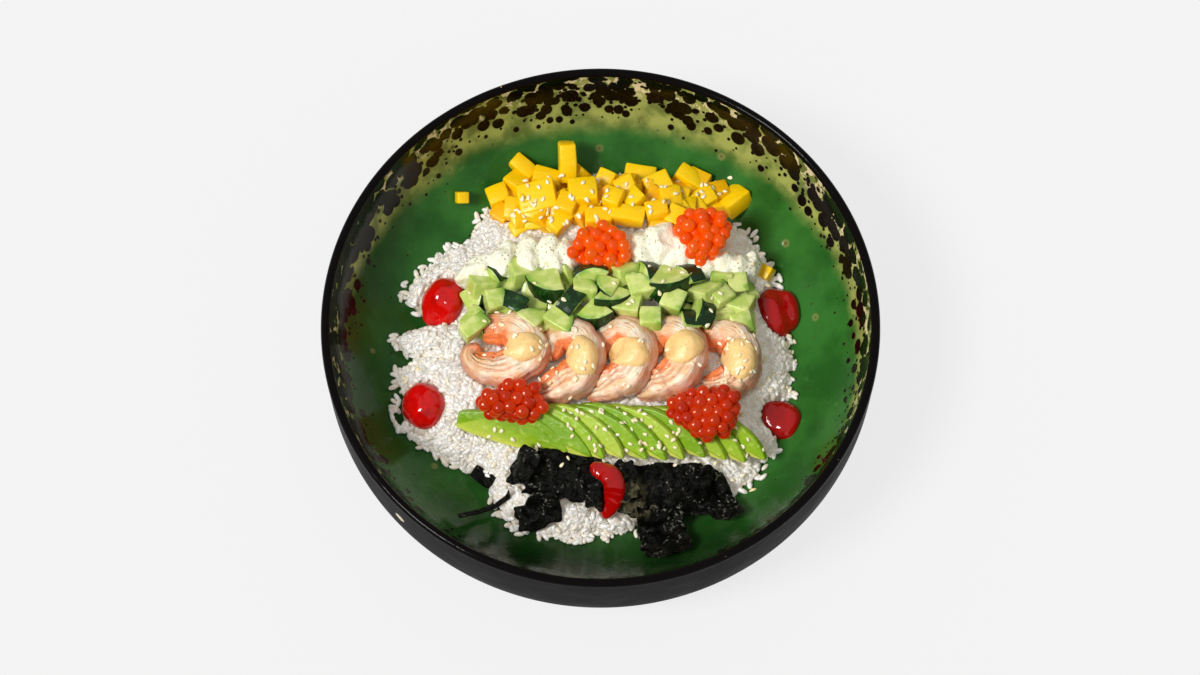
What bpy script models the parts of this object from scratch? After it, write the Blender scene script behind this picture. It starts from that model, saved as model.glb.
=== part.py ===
"""A shrimp and rice bowl: a glazed stoneware bowl, a bed of rice, and bands of toppings across it.

Every separate piece of food is its own closed solid, and a heap of dice is one solid. Lengths are in
metres, +Z is up, and the origin is the middle of the foot ring, on the surface that the bowl stands on.
-Y is the near side, where the torn seaweed lies, and +Y the far side, where the mango lies.
"""
import itertools
import math
import random

import bmesh
import bpy
from mathutils import Euler, Matrix, Vector, noise
from mathutils.bvhtree import BVHTree

MM = 0.001
DEG = math.pi / 180

# Bowl
RIM_RADIUS = 120 * MM
LIP_RADIUS = 2 * MM
BOWL_HEIGHT = 64 * MM
INNER_RADIUS = RIM_RADIUS - 2 * LIP_RADIUS
INNER_DEPTH = 54 * MM
INNER_ROUNDNESS = 3.2
LIP_HEIGHT = BOWL_HEIGHT - LIP_RADIUS
OUTER_CORNER_HEIGHT = 42 * MM
OUTER_ROUNDNESS = 2.8
OUTER_BOTTOM = 5 * MM
FOOT_CORNER_RADIUS = 60 * MM
FOOT_OUTER = 57 * MM
FOOT_INNER = 50 * MM
FOOT_EDGE = 1 * MM
FOOT_RECESS = 3 * MM
BOWL_STEPS = 40
INNER_STEPS = 8
OUTER_STEPS = 4
LIP_ANGLES = (135, 90, 45, 0)

# Rice bed: its edge is a circle with bulges of (direction in degrees, half width in degrees, height)
RICE_RADIUS = 85 * MM
RICE_TOP = 32.5 * MM
RICE_SHOULDER = 4.0
RICE_ROUNDING = 0.6
RICE_RINGS = (0.45, 0.66, 0.76, 0.84, 0.9, 0.945, 0.98, 1.0)
RICE_GAP = 0.4 * MM
RICE_EDGE = 0.6 * MM
RICE_LUMP = 0.9 * MM
RICE_LUMP_SIZE = 9 * MM
RICE_LUMPS_FROM = 0.7
RICE_BULGES = (
    (162, 9, 5 * MM), (184, 12, 4 * MM), (203, 9, 7 * MM), (228, 9, -4 * MM), (250, 8, 3 * MM),
    (274, 7, -4 * MM), (305, 14, 2 * MM), (326, 8, 3 * MM), (337, 6, -2 * MM), (90, 30, -2 * MM),
)
GRAIN_LENGTH = 6.4 * MM
GRAIN_WIDTH = 2.7 * MM
GRAIN_COUNT = 22
GRAIN_BAND = (0.74, 1.0)
GRAIN_CLEARANCE = 2.2 * MM
WALL_CLEARANCE = 1.8 * MM

# Gaps and the growth of a neighbour that cuts a piece clear of itself
TOUCH_GAP = 0.4 * MM
CUT_GROWTHS = (0.7 * MM, 0.78 * MM, 0.62 * MM, 0.9 * MM)
NEAR = 1 * MM
LEAST_LEFT = {"DIFFERENCE": 0.15, "UNION": 1}
FUSE_TRIES = 8
NUDGE = 0.15 * MM

# What a Boolean leaves is welded at a distance and its faces flatter than an angle are merged: the first
# pair that leaves a sound solid is taken
TIDY_STEPS = (
    (0.03 * MM, 0.1 * DEG), (0.01 * MM, 0.1 * DEG), (0.05 * MM, 0.1 * DEG), (0.02 * MM, 0), (0.05 * MM, 0),
)
TIDY_CHANGE = 0.001
SMALLEST_SOLID = 0.01 * MM**3
SAME_PLACE = 0.002 * MM

# The core of a heap, and a height that is above everything, from which a piece is lowered
MOUND_FACETS = 12
MOUND_ROOT = 4 * MM
ABOVE_ALL = 50 * MM
ON_EDGE_CHANCE = 0.35

# Mango: a long mound of dice on the far side, with the named pieces on its outline
MANGO_CENTRE = Vector((7 * MM, 67 * MM))
MANGO_RADII = (50 * MM, 12.5 * MM)
MANGO_HEIGHT = 11 * MM
MANGO_COUNT = 13
MANGO_SPACING = 10.6 * MM
MANGO_EDGES = (8 * MM, 12 * MM)
MANGO_SEED = 11
MANGO_OUTLINE = (
    # x, y, height above the ground, (length, width, thickness), turn and tilt in degrees
    (-44, 70, 5, (10, 9.5, 8), 25, 10),
    (-34, 82, 6, (11, 7.5, 8), -38, 14),
    (-14, 84, 13, (7.5, 8, 15), 4, 8),
    (57, 67, 6, (12, 11, 8), 38, -12),
    (38, 77, 7, (12, 7, 8), -35, 0),
)
MANGO_STRAYS = {"mango_stray_left": (-63.5, 73.5, 5.4, 8), "mango_stray_right": (74.6, 37.5, 6.2, 30)}

# Cucumber: quarter rounds and dice across the middle
CUCUMBER_CENTRE = Vector((5 * MM, 18 * MM))
CUCUMBER_RADII = (60 * MM, 12 * MM)
CUCUMBER_HEIGHT = 9 * MM
CUCUMBER_COUNT = 17
CUCUMBER_SPACING = 11.2 * MM
CUCUMBER_RADIUS = (9.5 * MM, 13 * MM)
CUCUMBER_THICKNESS = (7 * MM, 10 * MM)
CUCUMBER_SEED = 7
QUARTER_MIDDLE = 0.45

# Cream cheese, piped in lobes: (x, y, half length, half width, turn in degrees), tops at one height
CREAM_LOBES = {
    "cream_left": (
        (-52, 33, 8, 6.5, 20), (-44, 36, 8, 6.5, 30), (-36, 37, 8.5, 6.5, 65),
        (-26.5, 37, 9, 6, 95), (-18.5, 38.5, 8.5, 5, 100),
    ),
    "cream_right": (
        (19, 41, 10, 8, 110), (29, 42, 11, 9, 60), (38, 36, 9, 7, -30),
        (50, 34, 9, 6, -10), (61, 34, 6.5, 6, 60),
    ),
}
CREAM_HALF_HEIGHT = 7.54 * MM
CREAM_LIFT = 5.46 * MM

# Shrimps: (x, y, tilt, turn) in millimetres and degrees; each lies on the next with its back raised
SHRIMPS = (
    (-39, -10, 16, 20), (-13, -14.5, 30, 4), (10, -13.5, 32, 2), (32, -13, 32, -4), (57, -13.5, 10, -6),
)
SHRIMP_ARC = (-150, 140)
SHRIMP_REACH = (7.6 * MM, 3.6 * MM)
SHRIMP_FIRST_REACH = (10.5 * MM, 0.5 * MM)
SHRIMP_SQUARENESS = 2.5
SHRIMP_SEGMENTS = 6
SEGMENTS_FROM = 0.03
SEGMENTED_SHARE = 0.93
SHRIMP_THICKNESS = ((0.0, 4.8 * MM), (0.2, 6.9 * MM), (0.55, 6.6 * MM), (0.85, 4.8 * MM), (1.0, 2.6 * MM))
SHRIMP_GROOVE = 0.86
SHRIMP_END = 0.5
SHRIMP_SIDES = 2

# A spoon of dressing on each shrimp: (x, y) and its half length, half width and half thickness
DRESSING = ((-33, -11), (-5, -15), (16, -12), (38, -12), (61.5, -16))
DRESSING_RADII = (8.5 * MM, 7.5 * MM, 4.2 * MM)
DRESSING_RISE = 1.2 * MM

# Avocado: a leaning fan of slices
AVOCADO_SLICES = 12
AVOCADO_LEFT = Vector((-43 * MM, -44 * MM))
AVOCADO_RIGHT = Vector((54 * MM, -43.5 * MM))
AVOCADO_LENGTH = 42 * MM
AVOCADO_HEIGHT = 13 * MM
AVOCADO_THICKNESS = 2.9 * MM
AVOCADO_DIRECTION = -29
AVOCADO_LEAN = (46, 34)
AVOCADO_SIDES = 8
AVOCADO_UNDERSIDE = 0.45

# Torn seaweed: (x, y, length, width, turn in degrees), from the lowest to the highest
SEAWEED = (
    (-16, -61, 38, 23, -8), (26, -67, 42, 24, 4), (-51, -58, 11, 5.5, -40), (-33, -58, 17, 11, 62),
    (-50, -74, 25, 2.6, 28), (-27, -77, 21, 12, 14), (4, -66, 26, 19, 12), (51, -70, 26, 14, -62),
    (23, -89, 15, 19, 8),
)
SEAWEED_THICKNESS = 0.7 * MM
SEAWEED_LIFT = 1.6 * MM
NEARBY = (-6, -3, 0, 3, 6)
SEAWEED_WAVE = 0.6 * MM
SEAWEED_CELL = 6.5 * MM

# Chilli sauce: round drops on the rice and a crescent on the seaweed
SAUCE_DROPS = {
    "sauce_far_left": (-70, 22, 9.6, 10.6), "sauce_near_left": (-77, -27, 9.2, 9.6),
    "sauce_far_right": (79, 20, 9, 10.8), "sauce_near_right": (79, -31, 8.2, 8.6),
}
SAUCE_HEIGHT = 6.5 * MM
CRESCENT_CENTRE = Vector((-3 * MM, -71 * MM))
CRESCENT_REACH = (9 * MM, 9.5 * MM)
CRESCENT_ARC = (-70, 105)
CRESCENT_RADIUS = 2.9 * MM
CRESCENT_POINTS = 7

# Roe: clusters of balls, (x, y, half length, half width, height of the mound's middle, balls)
ROE_DIAMETER = 5.8 * MM
ROE_CLUSTERS = {
    "roe_far_middle": (0, 41, 15, 11, 43, 12), "roe_far_right": (46, 47, 12, 12, 46, 11),
    "roe_near_left": (-37, -35, 14, 8.5, 43, 10), "roe_near_right": (46, -38, 15, 11.5, 46, 13),
}
ROE_MOUND = 4.5 * MM
ROE_GAP = 1.2 * MM
ROE_FILL = 1 * MM
ROE_SEED = 3

# Sesame seeds fused to what they lie on
SEED_LENGTH = 3.1 * MM
SEED_WIDTH = 1.9 * MM
SEED_THICKNESS = 1.0 * MM
SEED_CLEARANCE = 1.9 * MM
SEEDS_ON = {
    "mango_heap": 4, "shrimp_1": 2, "shrimp_5": 1, "cucumber_heap": 3, "avocado_07": 1, "avocado_09": 1,
}

FINISHES = {
    # colour, roughness
    "glazed_stoneware": ((0.05, 0.18, 0.08), 0.25),
    "rice": ((0.86, 0.84, 0.78), 0.5),
    "mango": ((0.95, 0.66, 0.04), 0.35),
    "cream_cheese": ((0.95, 0.93, 0.82), 0.5),
    "cucumber": ((0.6, 0.75, 0.3), 0.4),
    "shrimp": ((0.93, 0.62, 0.44), 0.4),
    "dressing": ((0.96, 0.72, 0.4), 0.35),
    "avocado": ((0.5, 0.7, 0.13), 0.45),
    "seaweed": ((0.02, 0.025, 0.015), 0.4),
    "chilli_sauce": ((0.72, 0.01, 0.01), 0.15),
    "roe": ((0.9, 0.16, 0.02), 0.15),
}


def start_clean():
    """Empties the scene and makes a collection for the bowl and one for cutters."""
    for obj in list(bpy.data.objects):
        bpy.data.objects.remove(obj)
    made = {}
    for name in ("shrimp_bowl", "cutters"):
        made[name] = bpy.data.collections.new(name)
        bpy.context.scene.collection.children.link(made[name])
    made["cutters"].hide_render = True
    return made


def finish_material(name):
    """The material of one kind of food, made once."""
    found = bpy.data.materials.get(name)
    if found:
        return found
    colour, roughness = FINISHES[name]
    made = bpy.data.materials.new(name)
    made.use_nodes = True
    shader = made.node_tree.nodes["Principled BSDF"]
    shader.inputs["Base Color"].default_value = (*colour, 1)
    shader.inputs["Roughness"].default_value = roughness
    shader.inputs["Metallic"].default_value = 0
    return made


def add_solid(name, mesh, finish):
    """A named object in the bowl's collection, with the material of its kind."""
    obj = bpy.data.objects.new(name, mesh)
    COLLECTIONS["shrimp_bowl"].objects.link(obj)
    mesh.materials.clear()
    mesh.materials.append(finish_material(finish))
    return obj


def mesh_of(bm, name):
    """Turns a finished bmesh into a mesh of triangles."""
    bmesh.ops.triangulate(bm, faces=bm.faces)
    mesh = bpy.data.meshes.new(name)
    bm.to_mesh(mesh)
    bm.free()
    return mesh


def placed(centre, turn, size):
    """The matrix that scales a unit shape, turns it and moves it."""
    return Matrix.Translation(centre) @ Euler(turn).to_matrix().to_4x4() @ Matrix.Diagonal((*size, 1))


def apply_modifiers(obj):
    """Replaces an object's mesh by what its modifiers make of it."""
    bpy.context.view_layer.update()
    graph = bpy.context.evaluated_depsgraph_get()
    mesh = bpy.data.meshes.new_from_object(obj.evaluated_get(graph))
    obj.modifiers.clear()
    obj.data = mesh


def largest_island(bm):
    """Drops the loose scraps that a cut leaves."""
    unseen = set(bm.faces)
    islands = []
    while unseen:
        stack = [unseen.pop()]
        island = set(stack)
        while stack:
            face = stack.pop()
            for edge in face.edges:
                for other in edge.link_faces:
                    if other in unseen:
                        unseen.discard(other)
                        island.add(other)
                        stack.append(other)
        islands.append(island)
    islands.sort(key=lambda faces: sum(face.calc_area() for face in faces))
    for island in islands[:-1]:
        bmesh.ops.delete(bm, geom=list(island), context="FACES")


def is_sound(bm):
    """Whether each edge joins two faces and no two edges lie on top of each other."""
    if not all(edge.is_manifold and edge.is_contiguous for edge in bm.edges):
        return False
    places = {vert: tuple(round(part / SAME_PLACE) for part in vert.co) for vert in bm.verts}
    ends = {frozenset(places[vert] for vert in edge.verts) for edge in bm.edges}
    return len(ends) == len(bm.edges) and all(len(pair) == 2 for pair in ends)


def tidied(mesh):
    """The main piece of a mesh, with short edges and flat facets merged, or None if that isn't sound."""
    for (weld, flat), method in itertools.product(TIDY_STEPS, ("BEAUTY", "EAR_CLIP")):
        bm = bmesh.new()
        bm.from_mesh(mesh)
        largest_island(bm)
        bmesh.ops.triangulate(bm, faces=bm.faces, ngon_method=method)
        volume = max(bm.calc_volume(), SMALLEST_SOLID)
        bmesh.ops.dissolve_degenerate(bm, edges=bm.edges, dist=weld)
        if flat:
            bmesh.ops.dissolve_limit(bm, angle_limit=flat, verts=bm.verts, edges=bm.edges)
            bmesh.ops.triangulate(bm, faces=bm.faces, ngon_method=method)
            bmesh.ops.dissolve_degenerate(bm, edges=bm.edges, dist=weld / 4)
        largest_island(bm)
        if bm.faces and is_sound(bm) and abs(bm.calc_volume() / volume - 1) < TIDY_CHANGE:
            return mesh_of(bm, mesh.name)
        bm.free()
    return None


def volume_of(mesh):
    """The volume that a closed mesh encloses."""
    bm = bmesh.new()
    bm.from_mesh(mesh)
    volume = bm.calc_volume()
    bm.free()
    return volume


def combine(obj, operation, others):
    """Joins or cuts a solid with others by one Boolean. Says whether a solver left a sound solid."""
    before = obj.data
    group = bpy.data.collections.new(obj.name + "_others")
    bpy.context.scene.collection.children.link(group)
    for other in others:
        group.objects.link(other)
    for solver in ("EXACT", "MANIFOLD"):
        obj.data = before.copy()
        joint = obj.modifiers.new("joint", "BOOLEAN")
        joint.operation = operation
        joint.operand_type = "COLLECTION"
        joint.collection = group
        joint.solver = solver
        apply_modifiers(obj)
        tidy = tidied(obj.data)
        if tidy and volume_of(tidy) > LEAST_LEFT[operation] * volume_of(before):
            break
        tidy = None
    obj.data = tidy or before
    bpy.data.collections.remove(group)
    return tidy is not None


def fuse(base, pieces):
    """Joins pieces into the base with one union, then removes them. Pieces that meet badly are nudged."""
    rng = random.Random(len(pieces))
    for _ in range(FUSE_TRIES):
        if combine(base, "UNION", pieces):
            break
        for piece in pieces:
            nudge = Vector([rng.uniform(-1, 1) for _ in range(3)]) * NUDGE
            piece.data.transform(Matrix.Translation(nudge))
    else:
        raise RuntimeError(f"{base.name} isn't sound after its union: move one of its pieces")
    for piece in pieces:
        bpy.data.objects.remove(piece)
    return base


def carve(obj, neighbours):
    """Cuts a piece clear of its neighbours, with a copy of each grown by the gap between them."""
    for neighbour in neighbours:
        if not near(obj, neighbour):
            continue
        for growth in CUT_GROWTHS:
            grown = cutter_copy(neighbour)
            swell = grown.modifiers.new("swell", "DISPLACE")
            swell.strength = growth
            swell.mid_level = 0
            raised = cutter_copy(neighbour)
            raised.data.transform(Matrix.Translation((0, 0, growth)))
            plain = cutter_copy(neighbour)
            cutters = (grown, raised, plain)
            done = all(combine(obj, "DIFFERENCE", [cutter]) for cutter in cutters)
            for cutter in cutters:
                bpy.data.objects.remove(cutter)
            if done:
                break
        if not done:
            raise RuntimeError(f"{obj.name} isn't sound after it is cut clear of {neighbour.name}: move it")
    return obj


def cutter_copy(obj):
    """A copy that serves as a cutter."""
    cutter = obj.copy()
    cutter.data = obj.data.copy()
    cutter.hide_render = True
    cutter.display_type = "WIRE"
    COLLECTIONS["cutters"].objects.link(cutter)
    return cutter


def near(obj, other):
    """Whether the boxes round two pieces come within reach of a cut."""
    for axis in range(3):
        parts = [[vert.co[axis] for vert in solid.data.vertices] for solid in (obj, other)]
        if min(parts[0]) - NEAR > max(parts[1]) or min(parts[1]) - NEAR > max(parts[0]):
            return False
    return True


def inner_height(radius):
    """Height of the bowl's inner surface at a distance from its axis."""
    share = min(radius / INNER_RADIUS, 1.0)
    return LIP_HEIGHT - INNER_DEPTH * math.sqrt(1 - share**INNER_ROUNDNESS)


def facet_height(radius):
    """Height of the bowl's inner facets at a distance from its axis."""
    points = bowl_profile()
    for (start, low), (end, high) in zip(points, points[1:]):
        if radius <= end:
            return low + (high - low) * (radius - start) / (end - start)
    return LIP_HEIGHT


def bowl_profile():
    """The bowl's section, from the middle of its inside over the lip to the middle of its underside."""
    points = [(0.0, inner_height(0))]
    for step in range(1, INNER_STEPS + 1):
        angle = step / INNER_STEPS * math.pi / 2
        radius = INNER_RADIUS * math.sin(angle) ** (2 / INNER_ROUNDNESS)
        points.append((radius, LIP_HEIGHT - INNER_DEPTH * math.cos(angle)))
    lip_middle = INNER_RADIUS + LIP_RADIUS
    for angle in LIP_ANGLES:
        across, up = math.cos(angle * DEG), math.sin(angle * DEG)
        points.append((lip_middle + LIP_RADIUS * across, LIP_HEIGHT + LIP_RADIUS * up))
    for step in range(OUTER_STEPS + 1):
        angle = step / OUTER_STEPS * math.pi / 2
        across, down = (part ** (2 / OUTER_ROUNDNESS) for part in (math.cos(angle), math.sin(angle)))
        points.append((
            FOOT_CORNER_RADIUS + (RIM_RADIUS - FOOT_CORNER_RADIUS) * across,
            OUTER_CORNER_HEIGHT - (OUTER_CORNER_HEIGHT - OUTER_BOTTOM) * down,
        ))
    points += [
        (FOOT_OUTER, FOOT_EDGE), (FOOT_OUTER - FOOT_EDGE, 0.0), (FOOT_INNER + FOOT_EDGE, 0.0),
        (FOOT_INNER, FOOT_RECESS), (0.0, FOOT_RECESS),
    ]
    return points


def build_bowl():
    """The bowl is one turned piece, with its foot ring."""
    bm = bmesh.new()
    line = [bm.verts.new((radius, 0, height)) for radius, height in bowl_profile()]
    for start, end in zip(line, line[1:]):
        bm.edges.new((start, end))
    bowl = add_solid("bowl", mesh_of(bm, "bowl"), "glazed_stoneware")
    turn = bowl.modifiers.new("turn", "SCREW")
    turn.steps = turn.render_steps = BOWL_STEPS
    turn.use_merge_vertices = True
    turn.merge_threshold = 0.00002
    apply_modifiers(bowl)
    bowl.data.shade_smooth()
    bowl.data.set_sharp_from_angle(angle=40 * DEG)
    return bowl


def rice_edge(angle):
    """Distance of the rice's edge from the bowl's axis, in a direction."""
    reach = RICE_RADIUS
    for direction, width, height in RICE_BULGES:
        away = (angle / DEG - direction + 180) % 360 - 180
        reach += height * math.exp(-((away / width) ** 2))
    return reach


def rice_surface(x, y):
    """Height of the bare rice under the toppings, and its share of the way to the edge."""
    reach = rice_edge(math.atan2(y, x))
    share = min(math.hypot(x, y) / reach, 1.0)
    edge_height = facet_height(reach) + RICE_EDGE
    height = edge_height + (RICE_TOP - edge_height) * (1 - share**RICE_SHOULDER) ** RICE_ROUNDING
    if RICE_LUMPS_FROM < share < 1:
        height += RICE_LUMP * noise.noise(Vector((x, y, 0)) / RICE_LUMP_SIZE)
    return height, share


def build_rice_core():
    """The bed of rice, before grains are fused on: a low mound whose underside follows the bowl's facets."""
    below = [radius for radius, height in bowl_profile()[1:INNER_STEPS] if radius < RICE_RADIUS - 8 * MM]
    bm = bmesh.new()
    rings = len(RICE_RINGS) + len(below) + 1
    bmesh.ops.create_uvsphere(bm, u_segments=BOWL_STEPS, v_segments=rings, radius=1)
    for vert in bm.verts:
        ring = round(math.acos(max(-1.0, min(1.0, vert.co.z))) / math.pi * rings)
        angle = math.atan2(vert.co.y, vert.co.x)
        if ring <= len(RICE_RINGS):
            reach = RICE_RINGS[ring - 1] * rice_edge(angle) if ring else 0.0
            height = rice_surface(reach * math.cos(angle), reach * math.sin(angle))[0]
        else:
            reach = below[rings - ring - 1] if ring < rings else 0.0
            height = inner_height(reach) + RICE_GAP
        vert.co = (reach * math.cos(angle), reach * math.sin(angle), height)
    return add_solid("rice", mesh_of(bm, "rice"), "rice")


class Ground:
    """What lies under a point, seen from above."""

    def __init__(self, *solids):
        self.trees = [BVHTree.FromObject(solid, bpy.context.evaluated_depsgraph_get()) for solid in solids]

    def height(self, x, y, default=0.0):
        """The highest surface under (x, y)."""
        hits = [tree.ray_cast(Vector((x, y, 1)), Vector((0, 0, -1)))[0] for tree in self.trees]
        return max([hit.z for hit in hits if hit], default=default)

    def distance(self, point):
        """How far the nearest surface is."""
        return min(tree.find_nearest(point)[3] for tree in self.trees)


def block(name, centre, size, turn, finish):
    """A cut block with flat sides."""
    bm = bmesh.new()
    bmesh.ops.create_cube(bm, size=1, matrix=placed(centre, turn, size))
    return add_solid(name, mesh_of(bm, name), finish)


def ball(name, centre, radii, turn, finish, segments, rings):
    """A rounded piece, such as a ball, a grain, a seed or a lobe."""
    bm = bmesh.new()
    bmesh.ops.create_uvsphere(
        bm, u_segments=segments, v_segments=rings, radius=1, matrix=placed(centre, turn, radii)
    )
    return add_solid(name, mesh_of(bm, name), finish)


def bead(name, centre, radius, turn, finish):
    """A small ball of twenty facets, such as a fish egg."""
    bm = bmesh.new()
    place = placed(centre, (turn, turn, turn), (radius,) * 3)
    bmesh.ops.create_icosphere(bm, subdivisions=1, radius=1, matrix=place)
    return add_solid(name, mesh_of(bm, name), finish)


def mound_share(x, y, centre, radii, roundness=3):
    """1 in the middle of a long mound, 0 at its edge."""
    out = abs((x - centre.x) / radii[0]) ** roundness + abs((y - centre.y) / radii[1]) ** roundness
    return max(0.0, 1 - out)


def build_mound(name, centre, radii, height, finish, ground):
    """The core of a heap: a low rounded mound that reaches into the ground, which then cuts it."""
    bm = bmesh.new()
    bmesh.ops.create_uvsphere(bm, u_segments=MOUND_FACETS, v_segments=MOUND_FACETS // 2, radius=1)
    for vert in bm.verts:
        x, y = centre.x + radii[0] * vert.co.x, centre.y + radii[1] * vert.co.y
        rise = height * vert.co.z if vert.co.z > 0 else MOUND_ROOT * vert.co.z
        vert.co = (x, y, ground.height(x, y) + rise)
    return add_solid(name, mesh_of(bm, name), finish)


def darts(seed, count, spacing, centre, radii, roundness=3):
    """Places spread over a mound, none closer to another than the spacing."""
    rng = random.Random(seed)
    found = []
    while len(found) < count:
        x = centre.x + radii[0] * rng.uniform(-1, 1)
        y = centre.y + radii[1] * rng.uniform(-1, 1)
        if mound_share(x, y, centre, radii, roundness) == 0:
            continue
        if all(math.hypot(x - a, y - b) >= spacing for a, b in found):
            found.append((x, y))
            continue
        spacing *= 0.9995
    return found


def mango_pieces(ground):
    """Centre, size and turn of every piece of mango in the heap."""
    rng = random.Random(MANGO_SEED)
    pieces = []
    for x, y in darts(MANGO_SEED, MANGO_COUNT, MANGO_SPACING, MANGO_CENTRE, MANGO_RADII):
        rise = MANGO_HEIGHT * mound_share(x, y, MANGO_CENTRE, MANGO_RADII) ** 0.5
        size = [rng.uniform(*MANGO_EDGES) for _ in range(3)]
        size[2] *= 0.8
        turn = (rng.uniform(-22, 22) * DEG, rng.uniform(-22, 22) * DEG, rng.uniform(0, 180) * DEG)
        pieces.append((Vector((x, y, ground.height(x, y) + rise + 1 * MM)), size, turn))
    for x, y, rise, size, turn, tilt in MANGO_OUTLINE:
        x, y = x * MM, y * MM
        pieces.append((
            Vector((x, y, ground.height(x, y) + rise * MM)),
            [edge * MM for edge in size],
            (0, tilt * DEG, turn * DEG),
        ))
    return pieces


def build_mango(rice, bowl, ground):
    """The heap of mango dice and the two dice that lie apart."""
    heap = build_mound("mango_heap", MANGO_CENTRE, MANGO_RADII, MANGO_HEIGHT, "mango", ground)
    dice = [block("die", *piece, "mango") for piece in mango_pieces(ground)]
    made = [carve(fuse(heap, dice), [rice, bowl])]
    for name, (x, y, edge, turn) in MANGO_STRAYS.items():
        x, y, edge = x * MM, y * MM, edge * MM
        slope = inner_height(math.hypot(x, y) + edge) - inner_height(math.hypot(x, y) - edge)
        lean = math.atan2(slope, 2 * edge)
        outward = math.atan2(y, x)
        slope_up = Matrix.Rotation(outward, 4, "Z") @ Matrix.Rotation(-lean, 4, "Y")
        tilt = slope_up @ Matrix.Rotation(turn * DEG, 4, "Z")
        centre = Vector((x, y, ground.height(x, y))) + tilt @ Vector((0, 0, 0.5 * edge))
        stray = block(name, centre, (edge, edge, edge), tilt.to_euler(), "mango")
        made.append(carve(stray, [bowl, rice]))
    return made


def quarter_round(name, centre, radius, thickness, turn, finish):
    """A cucumber slice cut in four: two flat cut sides and a round side with the peel."""
    bm = bmesh.new()
    bmesh.ops.create_cone(bm, cap_ends=True, segments=12, radius1=1, radius2=1, depth=1)
    bm.transform(Matrix.Rotation(15 * DEG, 4, "Z"))
    for normal in ((-1, 0, 0), (0, -1, 0)):
        everything = bm.verts[:] + bm.edges[:] + bm.faces[:]
        cut = bmesh.ops.bisect_plane(
            bm, geom=everything, plane_co=(0, 0, 0), plane_no=normal, clear_outer=True
        )
        rim = [item for item in cut["geom_cut"] if isinstance(item, bmesh.types.BMEdge)]
        bmesh.ops.holes_fill(bm, edges=rim)
    bmesh.ops.translate(bm, verts=bm.verts, vec=(-QUARTER_MIDDLE, -QUARTER_MIDDLE, 0))
    bm.transform(placed(centre, turn, (radius, radius, thickness)))
    bmesh.ops.recalc_face_normals(bm, faces=bm.faces)
    return add_solid(name, mesh_of(bm, name), finish)


def cucumber_pieces(ground):
    """Centre, radius, thickness and turn of every piece of cucumber."""
    rng = random.Random(CUCUMBER_SEED)
    pieces = []
    for x, y in darts(CUCUMBER_SEED, CUCUMBER_COUNT, CUCUMBER_SPACING, CUCUMBER_CENTRE, CUCUMBER_RADII):
        rise = CUCUMBER_HEIGHT * mound_share(x, y, CUCUMBER_CENTRE, CUCUMBER_RADII) ** 0.5
        radius = rng.uniform(*CUCUMBER_RADIUS)
        thickness = rng.uniform(*CUCUMBER_THICKNESS)
        on_edge = rng.random() < ON_EDGE_CHANCE
        turn = (
            (90 * DEG if on_edge else 0) + rng.uniform(-18, 18) * DEG,
            rng.uniform(-18, 18) * DEG,
            rng.uniform(0, 360) * DEG,
        )
        pieces.append((Vector((x, y, ground.height(x, y) + rise)), radius, thickness, turn))
    return pieces


def build_cucumber(rice, ground):
    """The heap of cucumber pieces."""
    heap = build_mound("cucumber_heap", CUCUMBER_CENTRE, CUCUMBER_RADII, CUCUMBER_HEIGHT, "cucumber", ground)
    pieces = [quarter_round("piece", *piece, "cucumber") for piece in cucumber_pieces(ground)]
    return carve(fuse(heap, pieces), [rice])


def build_cream(rice, neighbours, ground):
    """Two lengths of cream cheese, piped in overlapping lobes."""
    made = []
    for name, lobes in CREAM_LOBES.items():
        solids = []
        for x, y, length, width, turn in lobes:
            x, y = x * MM, y * MM
            centre = Vector((x, y, ground.height(x, y) + CREAM_LIFT))
            radii = (length * MM, width * MM, CREAM_HALF_HEIGHT)
            solids.append(ball(name, centre, radii, (0, 0, turn * DEG), "cream_cheese", 8, 5))
        cream = fuse(solids[0], solids[1:])
        cream.name = name
        made.append(carve(cream, [rice, *neighbours]))
    return made


def tube_thickness(share):
    """Radius of a shrimp's body at this share of its length."""
    for (start, thick), (end, next_thick) in zip(SHRIMP_THICKNESS, SHRIMP_THICKNESS[1:]):
        if share <= end:
            return thick + (next_thick - thick) * (share - start) / (end - start)
    return SHRIMP_THICKNESS[-1][1]


def shrimp_line(reach):
    """Points and radii along a curled shrimp, with a groove between its segments."""
    places = [(0.0, SHRIMP_END * tube_thickness(0))]
    step = SEGMENTED_SHARE / SHRIMP_SEGMENTS
    for segment in range(SHRIMP_SEGMENTS):
        start = SEGMENTS_FROM + segment * step
        places.append((start + 0.45 * step, tube_thickness(start + 0.45 * step)))
        places.append((start + step, SHRIMP_GROOVE * tube_thickness(start + step)))
    places.append((1.0, SHRIMP_END * tube_thickness(1)))
    line = []
    for share, radius in places:
        angle = (SHRIMP_ARC[1] + (SHRIMP_ARC[0] - SHRIMP_ARC[1]) * share) * DEG
        up = math.sin(angle)
        stretch = reach[1] * math.tanh(SHRIMP_SQUARENESS * up)
        line.append((Vector((reach[0] * math.cos(angle), reach[0] * up + stretch, 0)), radius))
    return line


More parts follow.
